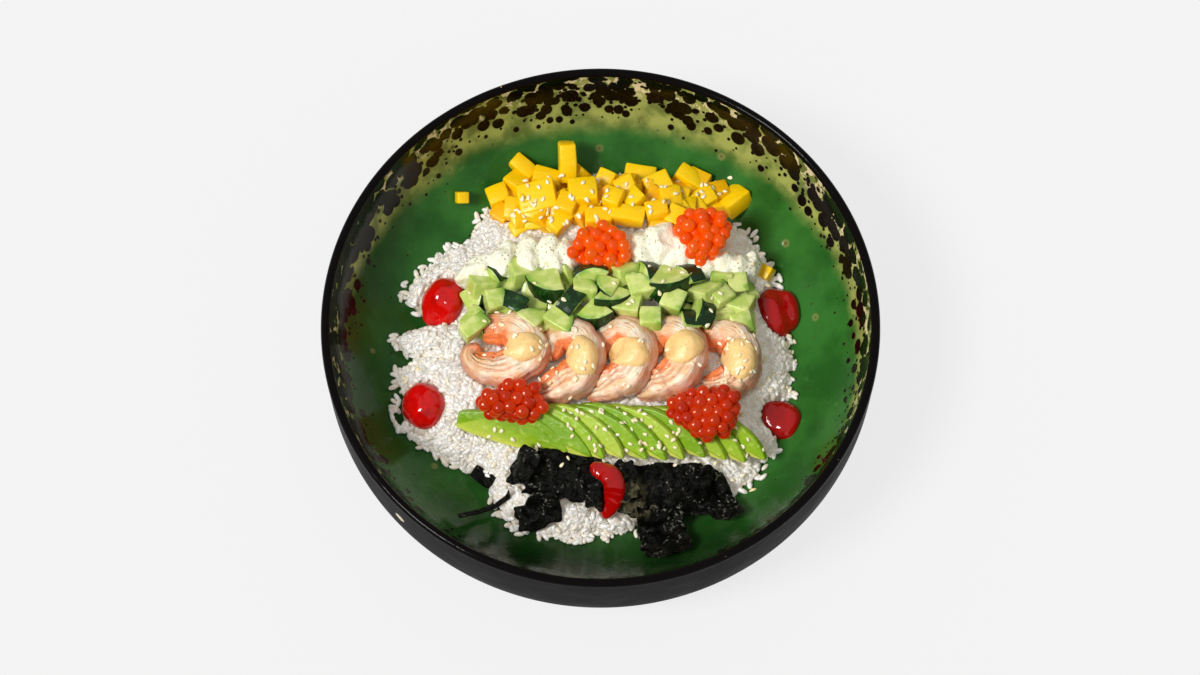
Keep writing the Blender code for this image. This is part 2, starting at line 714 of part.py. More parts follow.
def tube(name, line, matrix, finish):
    """A mesh tube of changing thickness along a line of (point, radius)."""
    curve = bpy.data.curves.new(name, "CURVE")
    curve.dimensions = "3D"
    curve.bevel_depth = 1
    curve.bevel_resolution = SHRIMP_SIDES
    curve.use_fill_caps = True
    spline = curve.splines.new("POLY")
    spline.points.add(len(line) - 1)
    for place, (point, radius) in zip(spline.points, line):
        place.co = (*(matrix @ point), 1)
        place.radius = radius
    holder = bpy.data.objects.new(name, curve)
    COLLECTIONS["shrimp_bowl"].objects.link(holder)
    bpy.context.view_layer.update()
    graph = bpy.context.evaluated_depsgraph_get()
    mesh = bpy.data.meshes.new_from_object(holder.evaluated_get(graph))
    bpy.data.objects.remove(holder)
    bm = bmesh.new()
    bm.from_mesh(mesh)
    bmesh.ops.remove_doubles(bm, verts=bm.verts, dist=0.00001)
    bmesh.ops.recalc_face_normals(bm, faces=bm.faces)
    return add_solid(name, mesh_of(bm, name), finish)


def lift_onto(obj, ground, gap):
    """Moves a piece straight down or up until it just clears the ground."""
    clear = min(vert.co.z - ground.height(vert.co.x, vert.co.y) for vert in obj.data.vertices)
    obj.data.transform(Matrix.Translation((0, 0, gap - clear)))
    return obj


def build_shrimps(rice, cucumber, ground):
    """Five curled shrimps in a row, from right to left, each leaning on the one before."""
    made = []
    for number in range(len(SHRIMPS), 0, -1):
        x, y, tilt, turn = SHRIMPS[number - 1]
        reach = SHRIMP_FIRST_REACH if number == 1 else SHRIMP_REACH
        matrix = placed((x * MM, y * MM, ABOVE_ALL), (0, -tilt * DEG, turn * DEG), (1, 1, 1))
        shrimp = tube(f"shrimp_{number}", shrimp_line(reach), matrix, "shrimp")
        lift_onto(shrimp, ground, TOUCH_GAP)
        made.append(carve(shrimp, [rice, cucumber, *made[-1:]]))
    return made[::-1]


def build_dressing(shrimps, others):
    """A spoon of dressing on the raised back of each shrimp."""
    made = []
    for number, (x, y) in enumerate(DRESSING, 1):
        x, y = x * MM, y * MM
        back = Ground(shrimps[number - 1])
        top = max(back.height(x + a * MM, y + b * MM) for a in (-5, 0, 5) for b in (-5, 0, 5))
        centre = Vector((x, y, top + DRESSING_RISE))
        drop = ball(f"dressing_{number}", centre, DRESSING_RADII, (0, 0.2, 0.3), "dressing", 8, 5)
        made.append(carve(drop, shrimps[max(0, number - 2):number + 1] + others))
    return made


def build_avocado(rice, neighbours, ground):
    """A fan of avocado slices, each leaning on the next."""
    made = []
    for number in range(AVOCADO_SLICES):
        share = number / (AVOCADO_SLICES - 1)
        middle = AVOCADO_LEFT.lerp(AVOCADO_RIGHT, share)
        lean = (AVOCADO_LEAN[0] + (AVOCADO_LEAN[1] - AVOCADO_LEAN[0]) * share) * DEG
        bm = bmesh.new()
        bmesh.ops.create_cone(bm, cap_ends=True, segments=AVOCADO_SIDES, radius1=1, radius2=1, depth=1)
        for vert in bm.verts:
            if vert.co.y < 0:
                vert.co.y *= AVOCADO_UNDERSIDE
        half_height = AVOCADO_HEIGHT / (1 + AVOCADO_UNDERSIDE)
        bm.transform(Matrix.Diagonal((AVOCADO_LENGTH / 2, half_height, AVOCADO_THICKNESS, 1)))
        bm.transform(Matrix.Rotation(90 * DEG - lean, 4, "X"))
        bm.transform(placed((middle.x, middle.y, ABOVE_ALL), (0, 0, AVOCADO_DIRECTION * DEG), (1, 1, 1)))
        name = f"avocado_{number + 1:02d}"
        piece = add_solid(name, mesh_of(bm, name), "avocado")
        lift_onto(piece, ground, TOUCH_GAP)
        made.append(carve(piece, [rice, *neighbours, *made[-1:]]))
    return made


def build_seaweed(solids):
    """Torn sheets of seaweed, thin and wavy, each laid over the ones before."""
    made = []
    for number, (x, y, length, width, turn) in enumerate(SEAWEED, 1):
        rng = random.Random(number)
        ground = Ground(*solids, *made)
        cells = (max(2, round(length * MM / SEAWEED_CELL)), max(1, round(width * MM / SEAWEED_CELL)))
        bm = bmesh.new()
        bmesh.ops.create_grid(bm, x_segments=cells[0], y_segments=cells[1], size=0.5)
        place = Matrix.Translation((x * MM, y * MM, 0)) @ Matrix.Rotation(turn * DEG, 4, "Z")
        for vert in bm.verts:
            torn = 0.6 * MM if min(length, width) > 5 else 0.2 * MM
            flat = Vector((vert.co.x * length * MM, vert.co.y * width * MM, 0))
            if vert.is_boundary:
                flat += Vector((rng.uniform(-2, 2) * torn, rng.uniform(-2, 2) * torn, 0))
            spot = place @ flat
            around = [ground.height(spot.x + a * MM, spot.y + b * MM) for a in NEARBY for b in NEARBY]
            wave = SEAWEED_WAVE * noise.noise(spot / (8 * MM))
            vert.co = (spot.x, spot.y, max(around) + SEAWEED_LIFT + wave)
        bmesh.ops.triangulate(bm, faces=bm.faces)
        name = f"seaweed_{number:02d}"
        sheet = add_solid(name, mesh_of(bm, name), "seaweed")
        skin = sheet.modifiers.new("thickness", "SOLIDIFY")
        skin.thickness = SEAWEED_THICKNESS
        skin.offset = 1
        apply_modifiers(sheet)
        made.append(sheet)
    return made


def build_sauce(rice, bowl, seaweed, ground):
    """Four drops of chilli sauce on the rice's edge, and a crescent of it on the seaweed."""
    made = []
    for name, (x, y, long, wide) in SAUCE_DROPS.items():
        x, y = x * MM, y * MM
        centre = Vector((x, y, ground.height(x, y) + 0.1 * SAUCE_HEIGHT))
        drop = ball(name, centre, (long * MM, wide * MM, SAUCE_HEIGHT), (0, 0, 0), "chilli_sauce", 12, 6)
        made.append(carve(drop, [rice, bowl]))
    on_top = Ground(*seaweed, rice)
    line = []
    for step in range(CRESCENT_POINTS):
        share = step / (CRESCENT_POINTS - 1)
        angle = (CRESCENT_ARC[0] + (CRESCENT_ARC[1] - CRESCENT_ARC[0]) * share) * DEG
        x = CRESCENT_CENTRE.x + CRESCENT_REACH[0] * math.cos(angle)
        y = CRESCENT_CENTRE.y + CRESCENT_REACH[1] * math.sin(angle)
        radius = CRESCENT_RADIUS * max(0.3, math.sin(math.pi * (0.06 + 0.88 * share)) ** 0.5)
        line.append((Vector((x, y, on_top.height(x, y) + 0.55 * radius)), radius))
    crescent = tube("sauce_crescent", line, Matrix.Identity(4), "chilli_sauce")
    made.append(carve(crescent, [rice, *seaweed]))
    return made


def build_roe(solids):
    """Clusters of roe: a core with eggs fused over it, in a hollow that is cut for it in what it lies on."""
    made = []
    for name, (x, y, long, wide, height, count) in ROE_CLUSTERS.items():
        middle = Vector((x * MM, y * MM))
        reach = (long * MM, wide * MM, ROE_MOUND + ROE_DIAMETER / 2)
        centre = Vector((*middle, height * MM))
        hollow = ball("hollow", centre, [part + ROE_GAP for part in reach], (0, 0, 0), "roe", 16, 8)
        for solid in solids:
            if near(solid, hollow) and not combine(solid, "DIFFERENCE", [hollow]):
                raise RuntimeError(f"{solid.name} isn't sound round {name}: move it")
        bpy.data.objects.remove(hollow)
        inner = [part - ROE_DIAMETER / 2 for part in reach]
        core = ball(name, centre, [part + ROE_FILL for part in inner], (0, 0, 0), "roe", 8, 4)
        eggs = []
        for a, b in darts(ROE_SEED + count, count, ROE_DIAMETER, middle, inner, 2):
            rise = inner[2] * math.sqrt(mound_share(a, b, middle, inner, 2))
            spot = Vector((a, b, height * MM + rise))
            eggs.append(bead("egg", spot, ROE_DIAMETER / 2, a / ROE_DIAMETER, "roe"))
        made.append(fuse(core, eggs))
    return made


def add_grains(rice, bowl, solids):
    """Fuses whole grains to the visible edge of the rice, clear of the bowl and of what lies on the rice."""
    toppings = Ground(*solids)
    wall = Ground(bowl)
    surface = Ground(rice)
    rng = random.Random(5)
    grains = []
    centres = []
    while len(grains) < GRAIN_COUNT:
        angle = rng.uniform(0, 2 * math.pi)
        share = rng.uniform(*GRAIN_BAND)
        reach = share * rice_edge(angle) - 0.5 * MM
        x, y = reach * math.cos(angle), reach * math.sin(angle)
        spot = Vector((x, y, surface.height(x, y) + 0.35 * GRAIN_WIDTH))
        turn = (0, rng.uniform(-25, 25) * DEG, rng.uniform(0, math.pi))
        along = Euler(turn).to_matrix() @ Vector((GRAIN_LENGTH / 2, 0, 0))
        places = [spot + along * part for part in (-1, -0.5, 0, 0.5, 1)]
        if min(toppings.distance(place) for place in places) < GRAIN_CLEARANCE:
            continue
        if min(wall.distance(place) for place in places) < WALL_CLEARANCE:
            continue
        if any((spot - other).length < 0.75 * GRAIN_LENGTH for other in centres):
            continue
        centres.append(spot)
        radii = (GRAIN_LENGTH / 2, GRAIN_WIDTH / 2, GRAIN_WIDTH / 2)
        grains.append(ball("grain", spot, radii, turn, "rice", 5, 4))
    return fuse(rice, grains)


def add_seeds(solids):
    """Fuses sesame seeds to the pieces they lie on, clear of other pieces."""
    named = {solid.name: solid for solid in solids}
    for number, (name, count) in enumerate(SEEDS_ON.items()):
        solid = named[name]
        rng = random.Random(number)
        own = Ground(solid)
        others = Ground(*[other for other in solids if other is not solid])
        low = [min(vert.co[axis] for vert in solid.data.vertices) for axis in (0, 1)]
        high = [max(vert.co[axis] for vert in solid.data.vertices) for axis in (0, 1)]
        seeds = []
        for _ in range(3000):
            if len(seeds) == count:
                break
            x, y = (rng.uniform(low[axis], high[axis]) for axis in (0, 1))
            top = own.height(x, y, default=-1)
            spot = Vector((x, y, top + 0.2 * SEED_THICKNESS))
            if top < 0 or others.distance(spot) < SEED_CLEARANCE or others.height(x, y) > top:
                continue
            if any((spot - seed).length < 2 * SEED_LENGTH for seed in seeds):
                continue
            seeds.append(spot)
        radii = (SEED_LENGTH / 2, SEED_WIDTH / 2, SEED_THICKNESS / 2)
        turns = [(0, 0, rng.uniform(0, math.pi)) for _ in seeds]
        fuse(solid, [ball("seed", spot, radii, turn, "rice", 5, 3) for spot, turn in zip(seeds, turns)])


def build():
    """Builds from the bowl upwards, each piece fitted to what is already there."""
    bowl = build_bowl()
    rice = build_rice_core()
    ground = Ground(bowl, rice)
    mango = build_mango(rice, bowl, ground)
    cucumber = build_cucumber(rice, ground)
    cream = build_cream(rice, [mango[0], cucumber], ground)
    shrimps = build_shrimps(rice, cucumber, ground)
    avocado = build_avocado(rice, shrimps, ground)
    dressing = build_dressing(shrimps, [cucumber])
    seaweed = build_seaweed([bowl, rice, *avocado])
    sauce = build_sauce(rice, bowl, seaweed, ground)
    solids = [*mango, cucumber, *cream, *shrimps, *avocado, *dressing]
    roe = build_roe(solids)
    solids += [*seaweed, *sauce, *roe]
    add_grains(rice, bowl, solids)
    add_seeds([rice, *solids])


COLLECTIONS = start_clean()
build()
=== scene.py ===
"""Dresses a shrimp and rice bowl: its glaze, every grain, die, slice, egg and seed, on a pale floor.

Each operator makes one piece, or one group of like pieces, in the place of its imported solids. The
code works in millimetres, with +Y away from the camera, and finished() turns a shape into metres.
"""

import math
import random

import bmesh
import bpy
import numpy as np
from mathutils import Euler, Matrix, Vector, noise
from mathutils.bvhtree import BVHTree


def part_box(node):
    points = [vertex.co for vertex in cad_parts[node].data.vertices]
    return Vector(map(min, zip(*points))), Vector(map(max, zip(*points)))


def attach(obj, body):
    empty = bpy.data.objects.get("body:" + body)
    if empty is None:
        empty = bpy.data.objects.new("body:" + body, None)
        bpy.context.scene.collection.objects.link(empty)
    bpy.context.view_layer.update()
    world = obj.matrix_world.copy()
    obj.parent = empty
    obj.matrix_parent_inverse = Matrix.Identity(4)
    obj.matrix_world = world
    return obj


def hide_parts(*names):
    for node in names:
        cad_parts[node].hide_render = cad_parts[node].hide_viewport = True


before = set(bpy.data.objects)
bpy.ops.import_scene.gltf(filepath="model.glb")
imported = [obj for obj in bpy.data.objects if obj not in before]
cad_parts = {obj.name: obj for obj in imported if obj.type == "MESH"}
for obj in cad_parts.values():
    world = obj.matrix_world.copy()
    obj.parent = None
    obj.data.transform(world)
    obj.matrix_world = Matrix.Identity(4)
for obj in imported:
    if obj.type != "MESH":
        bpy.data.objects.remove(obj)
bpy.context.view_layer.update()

bl_info = {
    "name": "Shrimp and rice bowl",
    "version": (1, 0, 0),
    "blender": (4, 5, 0),
    "location": "3D View > Sidebar > Rice Bowl",
    "description": "Makes the glazed bowl, the rice and every topping on it",
    "category": "Object",
}

MM = 0.001
DEG = math.pi / 180
BODY = "root"

# Vector noise takes its seed from the clock unless it is given one that isn't zero
WOBBLE_SEED = 7

# Direction towards the key light, which sets the eggs' painted deeper red on top, painted glow underneath
# and painted highlight
TOWARDS_LIGHT = np.array((-0.32, -0.24, 0.917))

# Bowl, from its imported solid
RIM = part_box("bowl")[1].x / MM
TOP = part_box("bowl")[1].z / MM
LIP = 2.0
WALL_IN = RIM - 2 * LIP
LIP_HEIGHT = TOP - LIP
DEPTH = 54.0
ROUNDNESS = 3.2
SHOULDER = 42.0
BELLY = 2.8
BELLY_BOTTOM = 5.0
CORNER = 60.0
FOOT = ((57.0, 1.0), (56.0, 0.0), (51.0, 0.0), (50.0, 3.0), (0.0, 3.0))
INNER_STEPS = 56
LIP_STEPS = 12
OUTER_STEPS = 32
TURN_STEPS = 224
BLACK_LIP = 1.2

# A fleck of glaze on the outside
FLECK = (-84.5, -84.5, 48.0)
FLECK_REACH = (3.0, 2.2)

# Rice: its edge is a circle with bulges of (direction in degrees, half width in degrees, height)
RICE_REACH = 84.0
RICE_TOP = 32.5
RICE_SHOULDER = 4
RICE_ROUNDING = 0.6
RICE_GAP = 0.3
RICE_EDGE = 0.5
RICE_LUMP = 1.1
RICE_BULGES = (
    (137, 8, -5), (162, 9, 5), (170, 3.5, -13), (177, 4, 5), (182, 2.2, -10), (188, 8, 4), (202, 8, 8),
    (226, 10, -8), (250, 7, 3), (272, 7, -3), (292, 13, -5), (312, 10, 2), (326, 8, 3), (337, 6, -2),
    (2, 16, -2), (90, 30, -2),
)

# Loose grains: how far in from the rice's edge they lie, in parts of its reach, and the share of strays
GRAIN_SPREAD = 0.32
STRAY_GRAINS = 0.025
STRAY_BAND = (0.97, 1.06)

# Mango dice that show on top: (x, y, length, width, turn in degrees)
MANGO_DICE = (
    (-46, 74, 9.6, 9, 20), (-35, 88, 12, 7, -38), (-38, 80, 9.5, 8.5, -36), (-24, 81, 13, 8, -14),
    (-11, 83, 10, 9, 50), (-28, 69, 17, 14, 10), (-8, 70, 13, 12.5, 4), (3, 80, 8.5, 8.5, 60),
    (12, 74, 9, 9, 20), (18, 84, 14, 9, -10), (26, 77, 12, 10, 24), (31, 69, 9.5, 9.5, 10),
    (40, 82, 13, 7.5, -30), (35, 72, 9, 8.5, -14), (47, 72, 9, 9, 30), (60, 72, 13, 11, 40),
    (6, 66, 9, 8, 66), (25, 61, 10, 8, 12), (12, 59, 15, 8, -8), (-1, 58, 12, 8, 4),
    (-18, 57, 12, 7.5, 48), (-36, 57, 9, 7, 30), (-32, 68, 9, 8, -30), (34, 59, 9.5, 9, -24),
    (15, 67, 9, 9, 40), (-15, 64, 10, 9, 70),
)

# The mango piece that stands upright behind the heap
MANGO_PRISM = (-15, 86.5, 36)
MANGO_PRISM_EDGES = (7.4, 7.8, 18)

# The mango heap
MANGO_CENTRE = (4, 70)
MANGO_RADII = (52, 15)
MANGO_RISE = 9.5
MANGO_FILL = 46
MANGO_EDGES = (7.5, 10.5)
MANGO_TALL = (7, 9)

# The dice that lie apart: (edge, turn in degrees)
MANGO_STRAYS = {"mango_stray_left": (5.2, 6), "mango_stray_right": (6, 58)}

# Cucumber pieces that show on top: (x, y, radius or edge, thickness, turn in degrees, how it lies)
CUCUMBER_PIECES = (
    (-53, 25, 12, 8, 60, "flat"), (-55, 8, 12, 8, 20, "flat"), (-46, 17, 9, 9, 15, "die"),
    (-38, 16, 11, 8, -120, "peel"), (-35, 31, 13, 9, 60, "flat"), (-23, 24, 15, 9, 250, "round"),
    (-30, 7, 11, 9, 95, "flat"), (-18, 8, 14, 8, 10, "flat"), (-13, 16, 11, 8, -30, "peel"),
    (-4, 29, 12, 8, 100, "peel"), (10, 30, 11, 8, 80, "flat"), (21, 29, 10, 7, 20, "peel"),
    (5, 17, 13, 9, 30, "round"), (-2, 10, 12, 9, 45, "round"), (13, 14, 12, 8, 120, "flat"),
    (17, 22, 12, 8, 60, "flat"), (30, 25, 15, 9, 150, "round"), (32, 16, 10, 9, -24, "die"),
    (22, 7, 9.5, 9.5, 0, "die"), (44, 11, 13, 8, -10, "peel"), (39, 29, 10, 8, 40, "peel"),
    (52, 20, 10, 9, 35, "die"), (60, 27, 9, 8, 10, "die"), (61, 8, 9.5, 9, 20, "die"),
    (46, 20, 12, 8, 100, "flat"), (62, 16, 11, 7, 110, "flat"),
    (38, 7, 12, 8, 30, "peel"), (-48, 31, 11, 7, 50, "peel"), (3, 22, 11, 8, 200, "flat"),
    (-8, 22, 11, 8, 40, "flat"), (54, 30, 10, 7, 130, "flat"),
)

# The cucumber stick at the left end: (x, y, length, width, height, turn in degrees)
CUCUMBER_STICK = (-55, 4, 13, 7, 7, 40)

# The cucumber heap
CUCUMBER_RISE = 9.0
CUCUMBER_CENTRE = (4, 18)
CUCUMBER_RADII = (72, 19)
CUCUMBER_FILL = 34
CUCUMBER_FILL_ACROSS = (-56, 66)
CUCUMBER_FILL_DEEP = (6, 31)
WEDGE_OPENING = 90
PEEL_FROM = 0.985

# Cream cheese lobes: (x, y, half length, half width, turn in degrees, rise)
CREAM_LOBES = {
    "cream_left": (
        (-58, 31.5, 6.5, 4.6, 18, 0), (-52, 34, 8.5, 7, 30, 0.6), (-43, 37, 10.5, 5.6, 76, 1.2),
        (-32, 38, 11, 6, 92, 1.6), (-21.5, 39, 11, 5.4, 98, 1.2), (-15, 40, 9, 5, 104, 0.4),
    ),
    "cream_right": (
        (18, 41, 10, 6.5, 112, 1), (26, 44, 12, 7.5, 74, 1.8), (35, 40, 11, 7, 50, 1),
        (45, 35, 9, 7, -16, 0.4), (54, 36, 8.5, 7, 10, 0.6), (61, 34, 7, 5.6, 62, 0.6),
        (66.5, 36, 7.5, 4.6, 80, 0.6),
    ),
}
CREAM_HALF_HEIGHT = 7.5
CREAM_LIFT = 5.6
CREAM_CELL = 0.7
CREAM_SMOOTHING = 3

# Shrimps: (x, y, degrees by which the right side is raised), and the middle line of each curl as
# (x, y, radius) from the head end over the back to the tail end
SHRIMPS = ((-39.5, -5.5, 9), (-13, -10.5, 17), (9.5, -9.5, 17), (31.5, -9, 17), (53.5, -9, 8))
CLOSED_CURL = (
    (-9.4, 1.2, 4.2), (-8, 8.6, 6.2), (-0.8, 11.8, 7.2), (6, 8.2, 7.8), (7.2, 0.2, 8.4),
    (3.6, -7, 9.2), (-2.6, -10.2, 8.8), (-8.8, -12.4, 7.2), (-13.4, -14.4, 4.8), (-16.4, -16, 2.4),
)
SPIRAL_CURL = (
    (-13.5, 8.4, 4.6), (-6.5, 10.6, 7), (1.8, 9.8, 8.4), (8.2, 4, 8.8), (8.6, -3.2, 8.8), (1.6, -7.8, 8.8),
    (-6.8, -8, 7.8), (-13.8, -5.4, 6), (-17, -0.8, 4.4), (-12.5, 1.4, 3),
)
OPEN_CURL = (
    (-9.6, 9.6, 4.8), (-3, 11.6, 7.2), (4.6, 9.4, 8.2), (8.2, 3, 8.6), (8, -4.4, 8.6), (3.4, -10.4, 8.2),
    (-4, -12.4, 7), (-10, -11.4, 4),
)
CURLS = (SPIRAL_CURL, CLOSED_CURL, CLOSED_CURL, CLOSED_CURL, OPEN_CURL)
BODY_SEGMENTS = 6
BODY_STATIONS = 90
BODY_SIDES = 56
BODY_FLATNESS = 0.88
STRAND_SPLITS = (0.72, 0.4, 0.02, -0.38)
STRAND_DEPTH = 2.6
STRAND_WIDTH = 0.11

# A spoon of dressing on each shrimp: (x, y, half length, half width, turn in degrees)
DRESSING = (
    (-34, -6.5, 8.8, 6.8, 8), (-8, -11, 7, 9.2, 12), (12, -9.5, 9, 7.2, -20),
    (36.5, -7, 9.6, 7.2, 20), (60.5, -10.5, 7.4, 9.8, 8),
)
DRESSING_THICKNESS = 3.6

# Avocado: a fan of leaning slices
AVOCADO_SLICES = 12
AVOCADO_LEFT = Vector((-42, -42))
AVOCADO_RIGHT = Vector((53, -42))
AVOCADO_LENGTH = 45.0
AVOCADO_HEIGHT = 13.0
AVOCADO_THICKNESS = 2.9
AVOCADO_DIRECTION = -32
AVOCADO_LEAN = (46, 34)

# The first slice: where it is cut off, in parts of its half length, and how much longer it is
AVOCADO_BLUNT_END = -0.8
AVOCADO_FIRST_LONGER = 1.12

# Torn seaweed: (x, y, length, width, turn in degrees)
SEAWEED = (
    (-16, -61, 40, 24, -8), (26, -67, 44, 25, 4), (-51, -58, 12, 6, -40), (-33, -58, 18, 12, 62),
    (-50, -74, 26, 3, 28), (-27, -77, 22, 13, 14), (4, -66, 27, 20, 12), (51, -70, 27, 15, -62),
    (27, -86, 24, 26, 8),
)

# The middle of the worn patch in the seaweed, whose paler colour is partly painted sheen
WORN_AND_SHEEN_SEAWEED = (14.0, -72.0, 36.0)

# How fine the sheets are, how wide the widest strip is and how far a sheet spans what is under it
SEAWEED_CELL = 0.9
SEAWEED_STRIP = 8
SEAWEED_DRAPE = 2.4

# Chilli sauce: (x, y, half length, half width, turn in degrees)
SAUCE_DROPS = {
    "sauce_far_left": (-70, 22, 9.4, 11.8, -28), "sauce_near_left": (-77, -27, 9.8, 10.2, 20),
    "sauce_far_right": (79, 20, 9.6, 12, 6), "sauce_near_right": (79, -31, 8.8, 9.2, 40),
}
SAUCE_THICKNESS = 7.2
CRESCENT_CENTRE = (-3.5, -69)
CRESCENT_REACH = (9.5, 8.6)
CRESCENT_ARC = (-66, 96)
CRESCENT_RADIUS = 4.7
CRESCENT_FLATNESS = 0.6
CRESCENT_STEPS = 40

# Roe clusters: (x, y, half length, half width, height, eggs)
ROE_CLUSTERS = {
    "roe_far_middle": (-1, 41, 16, 11.5, 43, 48), "roe_far_right": (45, 47, 13, 14, 46, 44),
    "roe_near_left": (-37.5, -31, 17, 9.5, 43, 48), "roe_near_right": (45.5, -36, 17, 13, 46, 62),
}
ROE_MOUND = 5.0
ROE_CLOSENESS = 0.8
ROE_ROUNDS = 60

# Camera: the place it looks at, its height over the table in degrees, its distance and its lens
CAMERA_AIM = (-0.23, 4.2, 30.0)
CAMERA_ELEVATION = 68.312
CAMERA_DISTANCE = 1247.0
CAMERA_LENS = 85

# Light: where the soft key stands, in metres, and how wide it is in degrees
KEY_PLACE = (-0.9, -0.45, 1.3)
KEY_WIDTH = 18
FLOOR_REACH = 2.5

# Sesame seeds: (x, y, half length, half width of the patch, seeds)
SEED_PATCHES = (
    (10, 68, 50, 14, 74), (-26, 62, 14, 8, 12), (0, 22, 60, 12, 30), (-42, -2, 14, 8, 14),
    (10, -10, 44, 14, 26), (62, -20, 12, 14, 22), (14, -42, 34, 9, 62), (40, -40, 22, 9, 20),
    (-40, -45, 20, 6, 6), (0, -53, 52, 4, 16), (78, -6, 8, 30, 14), (-74, 10, 12, 30, 14),
    (68, 38, 8, 16, 8), (66, -56, 10, 12, 8), (-10, -30, 26, 5, 8), (58, -11, 10, 12, 18),
    (14, -10, 50, 8, 20),
)


def tint(red, green, blue):
    """A colour given as it looks on a screen, from 0 to 255, as the linear values that a shader takes."""
    parts = [part / 255 for part in (red, green, blue)]
    return tuple(part / 12.92 if part <= 0.04045 else ((part + 0.055) / 1.055) ** 2.4 for part in parts)


def colour(name, description, *parts):
    """A colour setting."""
    return bpy.props.FloatVectorProperty(
        name=name, description=description, default=tint(*parts), subtype="COLOR", size=3, min=0, max=1
    )


def size(name, description, default):
    """A length setting, with its default in millimetres."""
    return bpy.props.FloatProperty(
        name=name, description=description, default=default * MM, min=0, unit="LENGTH"
    )


def strength(name, description, default):
    """A setting for how strong a light is."""
    return bpy.props.FloatProperty(name=name, description=description, default=default, min=0)


class BowlSettings(bpy.types.PropertyGroup):
    """Colours of the stoneware."""

    green: colour("Green", "The glaze on the inside", 50, 108, 40)
    deep_green: colour("Deep green", "The thicker pools of the glaze", 34, 84, 28)
    olive: colour("Olive", "The band of glaze above the green", 154, 160, 82)
    ivory: colour("Ivory", "The flecks under the lip", 232, 214, 166)
    spots: colour("Spots", "The dark spots under the lip", 10, 5, 3)
    charcoal: colour("Charcoal", "The unglazed outside", 24, 22, 23)
    spot_size: size("Spot spacing", "Distance between the dark spots", 6.4)


class RiceSettings(bpy.types.PropertyGroup):
    """Size, number and colour of the grains."""

    grain_length: size("Grain length", "Length of a cooked grain", 5.3)
    grain_width: size("Grain width", "Width of a cooked grain", 2.6)
    grains: bpy.props.IntProperty(name="Grains", description="Loose grains on the rice", default=5400, min=1)
    white: colour("White", "Cooked rice", 255, 250, 240)


class FruitSettings(bpy.types.PropertyGroup):
    """Colours of the mango, the cucumber and the avocado."""

    mango: colour("Mango", "The cut flesh", 250, 202, 0)
    mango_deep: colour("Deep mango", "The riper parts of the flesh", 242, 172, 0)
    cucumber: colour("Cucumber", "The cut flesh", 184, 204, 98)
    cucumber_rim: colour("Cucumber rim", "The flesh under the peel", 120, 164, 52)
    peel: colour("Peel", "The cucumber's peel", 14, 44, 12)
    avocado: colour("Avocado", "The flesh near the stone", 214, 220, 96)
    avocado_rim: colour("Avocado rim", "The flesh under the skin", 142, 180, 26)


class FishSettings(bpy.types.PropertyGroup):
    """Colours of the shrimps and the roe, and the size of an egg."""

    flesh: colour("Flesh", "The shrimps' cooked flesh", 248, 204, 158)
    stripe: colour("Stripe", "The bands on the shrimps' backs", 240, 116, 30)
    egg: size("Egg", "Diameter of one egg", 5.9)
    far_roe: colour("Far roe", "The eggs on the far side", 244, 80, 0)
    near_roe: colour("Near roe", "The eggs on the near side", 188, 37, 2)


class SauceSettings(bpy.types.PropertyGroup):
    """Colours of the cream cheese, the dressing and the chilli sauce."""

    cream: colour("Cream cheese", "The piped cheese", 255, 250, 214)
    dressing: colour("Dressing", "The spoons on the shrimps", 247, 198, 125)
    chilli: colour("Chilli sauce", "The drops and the crescent", 206, 6, 4)


class GarnishSettings(bpy.types.PropertyGroup):
    """Size and colour of the seeds and the seaweed."""

    seed: size("Seed", "Length of a sesame seed", 2.7)
    seed_colour: colour("Seed colour", "Hulled sesame", 254, 244, 212)
    sheet: size("Sheet", "Thickness of the seaweed", 0.35)
    seaweed: colour("Seaweed", "The torn sheets", 4, 4, 2)


class StageSettings(bpy.types.PropertyGroup):
    """The floor and the light."""

    floor: colour("Floor", "The pale surface under the bowl", 90, 90, 90)
    key: strength("Key", "Strength of the light from the left", 2.7)
    fill: strength("Fill", "Strength of the light all round", 0.48)
    glow: strength("Glow", "Light that the floor gives off", 0.78)


class RiceBowlSettings(bpy.types.PropertyGroup):
    """All settings of the bowl."""

    bowl: bpy.props.PointerProperty(type=BowlSettings)
    rice: bpy.props.PointerProperty(type=RiceSettings)
    fruit: bpy.props.PointerProperty(type=FruitSettings)
    fish: bpy.props.PointerProperty(type=FishSettings)
    sauce: bpy.props.PointerProperty(type=SauceSettings)
    garnish: bpy.props.PointerProperty(type=GarnishSettings)
    stage: bpy.props.PointerProperty(type=StageSettings)


